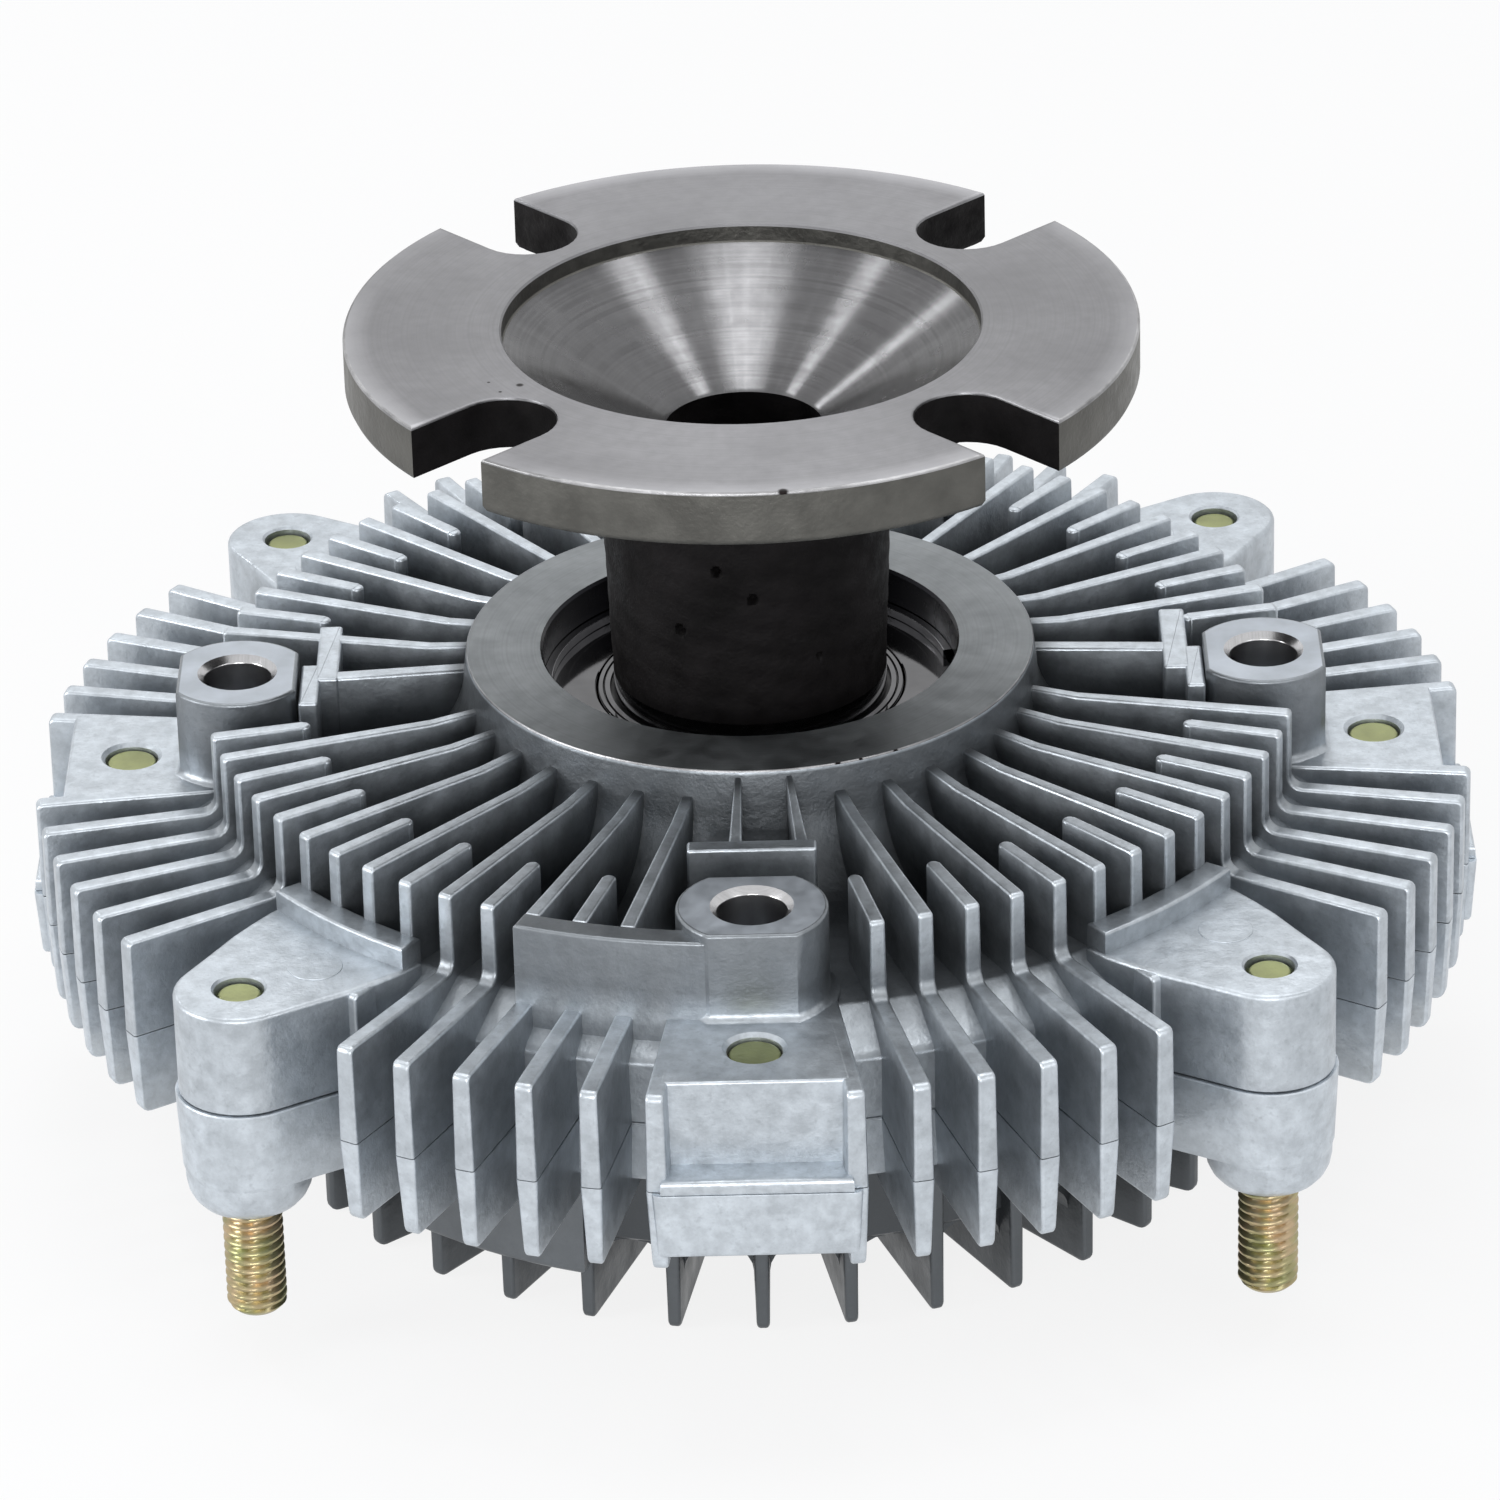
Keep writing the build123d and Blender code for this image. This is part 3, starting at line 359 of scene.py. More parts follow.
class Look:
    """Builds one node material from shades of its own colour."""

    def __init__(self, name, colour, metallic, roughness, **values):
        self.material = bpy.data.materials.new(name)
        self.material.use_nodes = True
        self.nodes = self.material.node_tree.nodes
        self.links = self.material.node_tree.links
        self.nodes.clear()
        self.shader = self.node("ShaderNodeBsdfPrincipled", Metallic=metallic, Roughness=roughness, **values)
        self.node("ShaderNodeOutputMaterial", Surface=self.shader.outputs[0])
        self.place = self.node("ShaderNodeTexCoord").outputs["Object"]
        self.colour = colour
        self.tone = None

    def join(self, value, socket):
        """Links a socket, or sets a value."""
        if isinstance(value, bpy.types.NodeSocket):
            self.links.new(value, socket)
        else:
            socket.default_value = value

    def node(self, kind, **values):
        """New node, with its inputs set or linked by name."""
        node = self.nodes.new(kind)
        for name, value in values.items():
            self.join(value, node.inputs[name.replace("_", " ")])
        return node

    def vector(self, operation, first, second=(0, 0, 0)):
        """One step of vector maths."""
        node = self.nodes.new("ShaderNodeVectorMath")
        node.operation = operation
        self.join(first, node.inputs[0])
        self.join(second, node.inputs[1])
        return node

    def noise(self, scale, detail=3.0, rough=0.55):
        """Noise over the object's own coordinates."""
        values = {"Scale": scale, "Detail": detail, "Roughness": rough}
        return self.node("ShaderNodeTexNoise", Vector=self.place, **values).outputs["Fac"]

    def turning(self, scale):
        """Noise that changes only with the distance from the shaft axis."""
        node = self.node("ShaderNodeTexNoise", Scale=scale, Detail=2.0)
        node.noise_dimensions = "1D"
        self.join(self.field()[0], node.inputs["W"])
        return node.outputs["Fac"]

    def spokes(self, scale, detail):
        """Noise that changes only with the direction from the shaft axis."""
        flat = self.vector("MULTIPLY", self.place, (1, 1, 0)).outputs["Vector"]
        unit = self.vector("NORMALIZE", flat).outputs["Vector"]
        return self.node("ShaderNodeTexNoise", Vector=unit, Scale=scale, Detail=detail).outputs["Fac"]

    def field(self):
        """Distance from the shaft axis, and height."""
        split = self.node("ShaderNodeSeparateXYZ", Vector=self.place)
        flat = self.node("ShaderNodeCombineXYZ", X=split.outputs["X"], Y=split.outputs["Y"])
        return self.vector("LENGTH", flat.outputs[0]).outputs["Value"], split.outputs["Z"]

    def span(self, value, low, high, to_low=0, to_high=1):
        """Maps a span of a value to another span."""
        limits = {"From Min": low, "From Max": high, "To Min": to_low, "To Max": to_high}
        return self.node("ShaderNodeMapRange", Value=value, **limits).outputs[0]

    def math(self, operation, first, second):
        """One sum of two values."""
        node = self.nodes.new("ShaderNodeMath")
        node.operation = operation
        self.join(first, node.inputs[0])
        self.join(second, node.inputs[1])
        return node.outputs[0]

    def mix(self, share, first, second):
        """Mixes two colours."""
        node = self.nodes.new("ShaderNodeMix")
        node.data_type = "RGBA"
        self.join(share, node.inputs["Factor"])
        for name, value in (("A", first), ("B", second)):
            is_socket = isinstance(value, bpy.types.NodeSocket)
            self.join(value if is_socket else (*value[:3], 1), node.inputs[name])
        return node.outputs["Result"]

    def two_tone(self, share, first, second):
        """Mixes two shades of the colour."""
        return self.mix(share, shade(self.colour, first), shade(self.colour, second))

    def cover(self, share, factor):
        """Lays another shade of the colour over the tone."""
        self.tone = self.mix(share, self.tone, shade(self.colour, factor))

    def mark(self, places, tone):
        """Paints small round spots, given as (x, y, height, radius) in mm."""
        total = None
        for x, y, z, size in places:
            middle = (x * MM, y * MM, (z + SEAM) * MM)
            away = self.vector("DISTANCE", self.place, middle).outputs["Value"]
            spot = self.span(away, size * MM, 0.55 * size * MM)
            total = self.math("MAXIMUM", total, spot) if total else spot
        self.tone = self.mix(total, self.tone, tone)

    def rough(self, value):
        """Roughness that varies over the surface."""
        self.join(value, self.shader.inputs["Roughness"])

    def bump(self, *heights):
        """Relief from (height, depth in mm) pairs, one over the other."""
        normal = None
        for height, depth in heights:
            node = self.node("ShaderNodeBump", Height=height, Distance=depth * MM, Strength=1.0)
            if normal:
                self.join(normal, node.inputs["Normal"])
            normal = node.outputs[0]
        self.join(normal, self.shader.inputs["Normal"])

    def around(self, amount):
        """Stretches the gloss across the lathe marks."""
        tangent = self.nodes.new("ShaderNodeTangent")
        tangent.direction_type = "RADIAL"
        tangent.axis = "Z"
        self.shader.inputs["Anisotropic"].default_value = amount
        self.shader.inputs["Anisotropic Rotation"].default_value = 0.25
        self.join(tangent.outputs[0], self.shader.inputs["Tangent"])

    def done(self):
        """Finished material, with its tone on the surface."""
        self.join(self.tone, self.shader.inputs["Base Color"])
        return self.material


# Rough shaft: its radius at the foot and under the neck, and the pits (turn, height, radius)
SHAFT_R = 14.0
SHAFT_TOP_R = 14.9
LAND_Z = 19.8
NECK_Z = 43.5
PITS = (
    (-118.4, 29.8, 0.62),
    (-102.0, 37.0, 0.55),
    (-87.7, 33.9, 0.60),
    (-60.0, 26.5, 0.35),
    (15.0, 33.0, 0.6),
    (140.0, 30.0, 0.6),
)


def shaft_radius(height):
    """Radius of the shaft, drafted above its ground land."""
    return SHAFT_R + (SHAFT_TOP_R - SHAFT_R) * max(0.0, height - LAND_Z) / (NECK_Z - LAND_Z)


def on_shaft(turn, height):
    """Point of the shaft's skin in the plan view."""
    return shaft_radius(height) * cos(radians(turn)), shaft_radius(height) * sin(radians(turn))


def cast_look(name, colour, wall_shade=0.0, depth=1.0, shadow=0.45):
    """Die-cast skin: cloudy grey, fine grain, with painted shade down between the fins, by the collar, on
    the front cover below the seam and on the walls' upper part.
    """
    look = Look(name, colour, 0.85, 0.42)
    look.tone = look.two_tone(look.span(look.noise(90, 4.0), 0.35, 0.65), 0.92, 1.06)
    mottle = look.two_tone(look.span(look.noise(520, 5.0, rough=0.65), 0.36, 0.66), 0.74, 1.22)
    look.tone = look.mix(0.55, look.tone, mottle)
    look.cover(look.span(look.noise(1500, 2.0), 0.58, 0.78, 0, 0.40), 0.60)
    look.cover(look.span(look.noise(34, 5.0, rough=0.7), 0.58, 0.74, 0, 0.22), 0.55)
    reach, height = look.field()

    def below(top, bottom, share):
        return look.span(height, (SEAM + top) * MM, (SEAM + bottom) * MM, 0, share)

    def inside(outer, inner, low=0, high=1.0):
        return look.span(reach, outer * MM, inner * MM, low, high)

    def both(first, second):
        return look.math("MULTIPLY", first, second)

    # Painted shade down between the upper fins, stronger towards the collar.
    gap_shade = both(inside(60.0, 55.0), below(FIN_Z - 0.25, FIN_Z - 6.0, 0.92))
    look.cover(both(gap_shade, inside(56.0, 38.0, 0.72, 1.0)), 0.13)
    # Painted shade on the collar's flank, under the flange.
    flank_shade = both(inside(32.0, 29.9), below(COLLAR_Z - 0.2, COLLAR_Z - 0.5, 0.86))
    look.cover(flank_shade, 0.15)
    # Painted shade in the cove at the fins' feet beside the collar.
    foot = both(inside(37.0, 31.5), below(FIN_Z - 0.3, FIN_Z - 1.5, 0.55))
    look.cover(foot, 0.15)
    # Painted shade on the lower fins below the lugs' level, fading out at the fins' tips.
    between = both(inside(73.6, 67.0), below(LUG_Z, LUG_Z - 2.0, shadow))
    look.cover(between, 0.40)
    # Painted shade on the upper part of the boss sides and arc wall, above the lugs.
    if wall_shade:
        look.cover(below(LUG_Z + 0.2, LUG_Z + 3.0, wall_shade), 0.25)
    # Painted shade on the front cover below the seam, darker downwards and inside the blades' outer edges.
    under_shade = both(inside(56.0, 53.0), inside(51.3, 50.0, 0.72, 0.96))
    look.cover(both(under_shade, below(-5.5, -11.0, depth)), 0.12)
    look.rough(look.span(look.noise(240, 3.0), 0.3, 0.7, 0.34, 0.50))
    look.bump((look.noise(420, 3.0), 0.07), (look.noise(1200, 3.0), 0.035), (look.noise(3000, 2.0), 0.02))
    return look.done()


def turned_look(
    name, colour, roughness, stretch, marks=0.003, cloud=0.85, highlight_streaks=0.0, rings=0.28, nicks=(), band=None
):
    """Steel or aluminium cut on a lathe, with faint rings and worn clouds, and optional painted highlights:
    radial streaks and a bright band near the rim.
    """
    look = Look(name, colour, 1.0, roughness)
    look.tone = look.two_tone(look.span(look.noise(70, 4.0), 0.3, 0.7), cloud, 1.08)
    look.cover(look.span(look.noise(620, 4.0), 0.4, 0.75, 0, 0.35), 0.66)
    look.cover(look.span(look.turning(3600), 0.4, 0.7, 0, rings), 0.70)
    if highlight_streaks:
        broken = look.span(look.noise(260, 3.0), 0.4, 0.6)
        dashes = look.math("MULTIPLY", look.span(look.turning(900), 0.45, 0.6, 0, 0.5), broken)
        look.cover(dashes, 0.62)
        # Bright radial streaks round the axis: painted highlight.
        look.cover(look.span(look.spokes(9.0, 3.0), 0.48, 0.66, 0, highlight_streaks), 1.9)
    # Bright band near the rim, broken by noise: painted highlight.
    if band:
        worn = look.span(look.field()[0], band[0] * MM, band[1] * MM)
        worn = look.math("MULTIPLY", worn, look.span(look.noise(45, 3.0), 0.35, 0.65, 0.25, 1))
        look.cover(worn, 1.6)
    if nicks:
        look.mark(nicks, NICK_TONE)
    look.rough(look.span(look.noise(300, 3.0), 0.3, 0.7, roughness * 0.85, roughness * 1.2))
    look.bump((look.turning(5200), marks))
    look.around(stretch)
    return look.done()


def edge_look(name, colour, nicks):
    """Thin edge, bright in some places and dull in others; the brightness is partly wear and partly painted
    highlight.
    """
    look = Look(name, colour, 1.0, 0.36)
    look.tone = look.two_tone(look.span(look.noise(75, 4.0, rough=0.7), 0.40, 0.62), 0.45, 1.0)
    look.mark(nicks, NICK_TONE)
    look.bump((look.noise(1300, 3.0), 0.05))
    return look.done()


def scale_look(name, colour):
    """Rough black forging scale."""
    look = Look(name, colour, 0.2, 0.6, Specular_IOR_Level=0.12)
    look.tone = look.two_tone(look.span(look.noise(160, 5.0), 0.35, 0.7), 0.55, 1.7)
    # Pits painted near black: partly the pits' own dark scale, partly painted shade in their hollows.
    pits = [(*on_shaft(turn, height), height, 1.15 * size) for turn, height, size in PITS]
    look.mark(pits, (0.001, 0.001, 0.001))
    look.rough(look.span(look.noise(500, 3.0), 0.3, 0.7, 0.45, 0.75))
    look.bump((look.noise(700, 4.0), 0.14), (look.noise(2600, 2.0), 0.05))
    return look.done()


def zinc_look(name, colour):
    """Yellow zinc plating with olive and pink tints."""
    look = Look(name, colour, 0.95, 0.33)
    pink, olive = (0.50, 0.38, 0.24), (0.34, 0.36, 0.17)
    look.tone = look.mix(look.span(look.noise(330, 2.0), 0.35, 0.65), shade(colour, 0.85), pink)
    look.tone = look.mix(look.span(look.noise(210, 2.0), 0.5, 0.7, 0, 0.7), look.tone, olive)
    look.bump((look.noise(1800, 2.0), 0.02))
    return look.done()


def plain_look(name, colour, metallic, roughness, grain, scale):
    """Small plain part with a fine grain."""
    look = Look(name, colour, metallic, roughness)
    look.tone = look.two_tone(look.span(look.noise(scale / 6, 3.0), 0.35, 0.65), 0.85, 1.1)
    look.rough(look.span(look.noise(scale / 3, 2.0), 0.3, 0.7, roughness * 0.85, roughness * 1.15))
    look.bump((look.noise(scale, 2.0), grain))
    return look.done()


# Settings


def length(name, text, value):
    """Length property, its default given in millimetres."""
    return FloatProperty(name=name, description=text, default=value * MM, unit="LENGTH")


def tilt(name, text, value):
    """Angle property, its default given in degrees."""
    return FloatProperty(name=name, description=text, default=radians(value), subtype="ANGLE")


def tint(name, text, value):
    """Colour property."""
    limits = {"size": 3, "min": 0, "max": 1}
    return FloatVectorProperty(name=name, description=text, subtype="COLOR", default=value, **limits)


class ClutchShapes(bpy.types.PropertyGroup):
    """Sizes that can be changed without touching the fits."""

    fin_thickness: length("Fin thickness", "Thickness at the outer fins' top", 1.8)
    fin_draft: FloatProperty(
        name="Fin draft", description="Share gained for each millimetre towards the seam", default=0.017
    )
    edge_round: length("Edge radius", "Rounding of the castings' edges", 0.34)
    thread_pitch: length("Thread pitch", "Pitch of the stud threads", 1.0)
    lathe_steps: IntProperty(name="Lathe steps", description="Facets of the turned forms", default=240)


class ClutchColours(bpy.types.PropertyGroup):
    """Colours of the finishes."""

    casting: tint("Casting", "Die-cast aluminium", (0.48, 0.52, 0.56))
    collar: tint("Machined casting", "Turned collar face", (0.22, 0.235, 0.245))
    boss: tint("Machined boss", "Faced boss tops", (0.42, 0.455, 0.50))
    flange: tint("Flange", "Turned steel face", (0.22, 0.22, 0.23))
    cone: tint("Cone", "Polished steel cone", (0.155, 0.155, 0.16))
    rim: tint("Rim", "Turned flange rim", (0.108, 0.106, 0.098))
    # Bright edges: partly wear, partly painted highlight.
    edge: tint("Edge", "Worn bright edges", (0.40, 0.40, 0.41))
    forging: tint("Forging", "Black scale on the shaft", (0.0062, 0.0054, 0.0057))
    zinc: tint("Zinc", "Plated studs and screws", (0.36, 0.34, 0.18))
    rubber: tint("Rubber", "Seals", (0.018, 0.018, 0.020))
    ground: tint("Ground steel", "Countersinks and ground faces", (0.55, 0.55, 0.56))
    land: tint("Shaft land", "Polished land at the shaft's foot", (0.60, 0.60, 0.61))
    bearing: tint("Bearing steel", "Faces of the bearing", (0.14, 0.14, 0.145))
    # Near-black wall of the bearing seat: painted shade inside the collar.
    oiled: tint("Oiled bore", "Wall of the bearing seat", (0.016, 0.016, 0.019))
    bimetal: tint("Bimetal", "Coil strip", (0.55, 0.47, 0.33))


class ClutchStage(bpy.types.PropertyGroup):
    """Camera, lamps and floor."""

    lens: FloatProperty(name="Lens", description="Focal length on a 36 mm sensor", default=195.4)
    distance: length("Distance", "Camera to the shaft axis", 843.5)
    elevation: tilt("Elevation", "Camera above the horizon", 27.96)
    azimuth: tilt("Azimuth", "Camera round the axis", 0.516)
    roll: tilt("Roll", "Tilt of the picture", 1.55)
    aim: FloatVectorProperty(
        name="Aim",
        description="Point in the middle of the picture",
        size=3,
        default=(-0.264 * MM, 0.0, (9.557 + SEAM) * MM),
    )
    lamp_power: FloatProperty(name="Lamp power", description="Share of the lamps' power", default=1.0)
    fill: FloatProperty(name="Fill", description="Brightness of the even light", default=0.45)


def shapes():
    """Sizes in use."""
    return bpy.context.scene.clutch_shapes


def colours():
    """Colours in use."""
    return bpy.context.scene.clutch_colours


# Dark nicks on the flange and the collar: (x, y, height, radius)
NICKS = (
    (3.95, -39.6, 57.85, 0.62),
    (8.7, -27.7, 22.2, 0.40),
    (11.0, -26.9, 22.2, 0.30),
    (14.5, -25.2, 22.2, 0.35),
    (-21.9, -14.0, 58.0, 0.45),
    (-23.8, -15.5, 58.0, 0.22),
    (-25.0, -13.2, 58.0, 0.20),
)
NICK_TONE = (0.010, 0.008, 0.008)
looks = {}


def plain_finishes(c):
    """Plain finishes: colour, share of metal, roughness, depth of the grain in mm and its scale."""
    return {
        "boss_face": (c.boss, 0.6, 0.48, 0.02, 1400),
        "rim_face": (c.rim, 0.9, 0.45, 0.06, 1700),
        "bearing_face": (c.bearing, 1.0, 0.07, 0.0008, 1200),
        # Wall of the bearing seat, painted near black as shade inside the collar.
        "oiled_bore": (c.oiled, 1.0, 0.28, 0.006, 900),
        "shaft_land": (c.land, 1.0, 0.13, 0.002, 1200),
        "plated_end": ((0.26, 0.28, 0.13), 0.9, 0.36, 0.03, 1500),
        "bimetal_strip": (c.bimetal, 0.95, 0.35, 0.01, 1600),
        "pressed_steel": ((0.42, 0.42, 0.44), 0.95, 0.35, 0.01, 1600),
        "spring_steel": ((0.20, 0.20, 0.21), 1.0, 0.14, 0.01, 1600),
        "rubber_seal": (c.rubber, 0.0, 0.5, 0.01, 1600),
        "moulded_cage": ((0.45, 0.36, 0.20), 0.0, 0.45, 0.01, 1600),
    }


def worked_finishes(c):
    """Finishes with marks of their own."""
    return {
        "cast_skin": partial(cast_look, colour=c.casting),
        # Boss sides and arc wall, with painted shade on their upper part.
        "cast_wall": partial(cast_look, colour=c.casting, wall_shade=0.72),
        "lug_skin": partial(cast_look, colour=c.casting, shadow=0.0),
        # Pad with half the painted shade below the seam.
        "pad_skin": partial(cast_look, colour=c.casting, depth=0.5),
        # Front casting: the casting colour made lighter, painted light on the lower casting.
        "cover_skin": partial(cast_look, colour=shade(c.casting, 1.14)),
        "collar_face": partial(
            turned_look, colour=c.collar, roughness=0.46, stretch=0.3, marks=0.002, cloud=0.9
        ),
        "flange_face": partial(
            turned_look,
            colour=c.flange,
            roughness=0.38,
            stretch=0.6,
            marks=0.0025,
            nicks=NICKS,
            # Painted highlight band near the rim.
            band=(37.2, 39.7),
        ),
        "cone_face": partial(
            # Cone, with painted highlight streaks.
            turned_look, colour=c.cone, roughness=0.24, stretch=0.9, cloud=0.8, highlight_streaks=0.10, rings=0.4
        ),
        "ground_steel": partial(turned_look, colour=c.ground, roughness=0.22, stretch=0.5, marks=0.002),
        "bright_edge": partial(edge_look, colour=c.edge, nicks=NICKS),
        "forging_scale": partial(scale_look, colour=c.forging),
        "zinc_plate": partial(zinc_look, colour=c.zinc),
    }


def look_of(name):
    """One finish, made once."""
    if name not in looks:
        worked = worked_finishes(colours())
        if name in worked:
            looks[name] = worked[name](name)
        else:
            looks[name] = plain_look(name, *plain_finishes(colours())[name])
    return looks[name]


# Castings


def fin_width(reach, height):
    """Share of the fin thickness, widest at the seam and narrowing towards the collar."""
    return (1 + shapes().fin_draft * (LUG_Z - height)) * (1 - 0.22 * max(0.0, 50.0 - reach) / 21.0)


def stem_width(reach, height):
    """Share of the fin thickness for the stems, thin at the collar."""
    return fin_width(reach, height) * min(1.0, 0.55 + 0.45 * (reach - 28.6) / 9.0)


def cover_fin_width(reach, height):
    """Share of the fin thickness below the seam, narrowing to the tip."""
    return 1.03 + shapes().fin_draft * LUG_Z + 0.044 * min(height, 0)


def blade_width(reach, height):
    """Share of the blade thickness, narrowing downwards."""
    return 1 + 0.030 * min(height + 20.0, 0)


def plate(bm, outline, angle, thickness, edge, width, floor_z=-99.0, roof_z=99.0):
    """Plate standing on a radius, its rims rounded."""
    levels = round_levels(-thickness / 2, thickness / 2, edge, edge)
    pillar(bm, outline, levels, on_radius(angle, width, floor_z, roof_z))


def rear_shell(bm, steps):
    """Body of the rear casting, with its cavity and bearing seat."""
    cove = arc((29.37 + COVE_R, FLOOR_Z + COVE_R), COVE_R, 180, 270, 12)
    brow = arc((55.0, FLOOR_Z - 1.2), 1.2, 90, 61, 3)
    edge = [(29.07, COLLAR_Z - 0.16)]
    rim = [(60.1, 7.15), (60.65, 6.8), (60.9, 6.3), (60.9, 0.22), (60.75, 0.04)]
    cavity = [(57.0, 0.04), (57.0, 6.6), (23.5, 6.6), (23.5, 4.3), (19.0, 4.3)]
    seat = [(19.0, 5.5), (21.0, 5.5), (21.0, 17.5), (22.2, 17.5), (22.2, 18.6), (21.2, 18.6)]
    seat.append((21.2, COLLAR_Z - 0.3))
    face = [(21.45, COLLAR_Z), (28.93, COLLAR_Z)]
    outside = edge + cove + brow + rim + cavity
    # The seat's wall takes finish 5, painted near black as shade inside the collar.
    mats = [0] * len(outside) + [5] * len(seat) + [1, 4]
    lathe(bm, outside + seat + face, mats, steps)


def rear_fins(bm, thickness, edge):
    """Upper fins, long and short, and the lower fins that run out from them."""
    low = [(LOWER_R, SUNK, 0), (57.6, SUNK, 0), (57.6, 6.0, 0), (54.0, FOOT_Z, 0)]
    lower_top = [(UPPER_R, LUG_Z, 1.3), (LOWER_R, LUG_Z, 0.7)]
    short_top = [(SHORT_ROOT_R, FOOT_Z, 0), (SHORT_ROOT_R, FIN_Z, 0)]
    long_top = [(ROOT_R, FOOT_Z, 0), (ROOT_R, FIN_Z + FIN_LIFT, 0), (34.0, FIN_Z, 3.0)]
    for turn in FIN_TURNS:
        is_long = turn in LONG_TURNS
        has_upper = turn in UPPER_TURNS
        has_lower = turn in FREE_TURNS
        upper_top = [*(long_top if is_long else short_top), (UPPER_R, FIN_Z, 0.5)]
        if has_upper and has_lower:
            corners = [*upper_top, *lower_top, *low]
        elif has_upper:
            corners = [*upper_top, (UPPER_R, FOOT_Z, 0)]
        elif has_lower:
            corners = [(54.0, LUG_Z, 0), (LOWER_R, LUG_Z, 0.7), *low[:3], (54.0, 8.6, 0)]
        else:
            continue
        plate(bm, rounded(corners)[::-1], turn, thickness, edge, fin_width, floor_z=SEAM_GAP)
        if has_upper and not is_long:
            width = 0.97 * thickness * fin_width(SHORT_ROOT_R, FIN_Z) / 2
            levels = round_levels(FOOT_Z, FIN_Z - STEP, 0, edge)
            pillar(bm, circle((SHORT_ROOT_R, 0), width, 20), levels, upright(turn))
    for turn in STUB_TURNS:
        corners = [(55.0, SUNK, 0), (STUB_R, SUNK, 0), (STUB_R, LUG_Z, 0.6), (55.0, LUG_Z, 0)]
        plate(bm, rounded(corners), turn, thickness, edge, fin_width, floor_z=SEAM_GAP)


def bored(top, steps):
    """Wall of a hole, from steps of (radius, depth below its mouth)."""
    return [(radius, top - depth) for radius, depth in steps]


def tapped_bosses(bm, edge):
    """Four bosses with countersunk blind holes."""
    centre, radius, side = (BOSS_R, 0), 7.45, 6.1
    flat = degrees(atan2(sqrt(radius**2 - side**2), side))
    outline = arc(centre, radius, flat, 180 - flat, 14)
    outline += arc(centre, radius, 180 + flat, 360 - flat, 14)
    levels = foot_levels(LUG_Z - 0.05, 0.9) + round_levels(LUG_Z + 0.85, BOSS_Z, 0, edge)
    hole = bored(BOSS_Z, ((4.1, 0), (3.5, 0.6), (3.45, 0.8), (3.45, 9.6), (0.5, 10.5)))
    for turn in BOSS_TURNS:
        # Boss sides take finish 6, with painted shade on their upper part.
        pillar(bm, outline, levels, upright(turn), 6, 3, holes=[(centre, hole, 2)])


def wall_of(bm, corners, place, edge, high):
    """Straight wall over plan corners (x, y, radius)."""
    levels = foot_levels(FOOT_Z + 0.8, 0.9) + round_levels(FOOT_Z + 1.7, high, 0, edge)
    pillar(bm, rounded(corners), levels, place)


def box_corners(x0, x1, y0, y1, radius=0.3):
    """Plan corners of a straight block."""
    x0, x1 = sorted((x0, x1))
    return [(x0, y0, radius), (x1, y0, radius), (x1, y1, radius), (x0, y1, radius)]


def cross_bars(bm, thickness, edge):
    """Bars behind the bosses, with their stems and links."""
    half = thickness / 2
    stem_z = FIN_Z - STEP
    rising = [(ROOT_R, FOOT_Z, 0), (ROOT_R, COLLAR_Z - 0.5, 0)]
    rising += [(37.0, stem_z, 3.0), (38.2, stem_z, 0), (38.2, FOOT_Z, 0)]
    for turn in (90, 270):
        wall_of(bm, box_corners(37.3, 39.3, -6.4, 6.4), upright(turn), edge, FIN_Z + STEP)
        for stem in (-2.5, 7.5):
            plate(bm, rounded(rising)[::-1], turn + stem, thickness, edge, stem_width)
    bars = ((42.35, 45.0, -1.5, 11.8), (-44.7, -42.3, -0.1, 12.1))
    links = ((44.5, 46.4, -5.6, 3.3), (-46.2, -44.2, -5.4, 3.4))
    stems = (((29.0, 4.3), (43.2, 3.5)), ((-29.0, 2.3), (-43.2, 0.9)))
    for bar, link, stem in zip(bars, links, stems):
        wall_of(bm, box_corners(*bar), upright(), edge, FIN_Z + STEP)
        wall_of(bm, box_corners(*link), upright(), edge, FIN_Z - STEP)
        (x0, y0), (x1, y1) = sorted(stem)
        slant = [(x0, y0 - half, 0), (x1, y1 - half, 0), (x1, y1 + half, 0), (x0, y0 + half, 0)]
        wall_of(bm, slant, upright(), edge, FIN_Z - 2 * STEP)


def arc_walls(bm, edge):
    """Wall beside the front boss and the low ribs behind the stud lugs."""
    outline = arc((0, 0), 58.6, -113.3, -94, 16) + arc((0, 0), 55.8, -94, -113.3, 16)
    # The arc wall takes finish 6, with painted shade on its upper part.
    pillar(bm, outline, round_levels(5.0, FIN_Z + 2 * STEP, 0, edge), upright(), 6)
    for turn in LUG_TURNS:
        outline = arc((0, 0), 58.5, -9, 9, 10) + arc((0, 0), 55.6, 9, -9, 10)
        pillar(bm, outline, round_levels(6.0, 13.0, 0, edge), upright(turn))


def flat_lugs(bm, edge):
    """Lugs under the bosses: recessed panel, rounded ledge at the seam, screw mouth."""
    near, far = 54.0, 70.5
    plan = ((near, -1), (far, -1), (far, 1), (near, 1))
    corners = [(x, side * x * LUG_SINE, 0) for x, side in plan]
    mouth = bored(LUG_Z, ((3.15, 0), (2.75, 0.4), (2.72, 1.2), (3.05, 1.3), (3.05, 3.0)))
    levels = round_levels(0.05, LUG_Z + STEP, 0, edge)
    ledge = rounded(box_corners(near, 73.85, -9.3, 9.3, 0))
    for turn in BOSS_TURNS:
        pillar(bm, rounded(corners), levels, upright(turn), 7, holes=[((SCREW_R, 0), mouth, 0)])
        pillar(bm, ledge, round_levels(0.02, 1.5, 0, 0.6), upright(turn), 7)


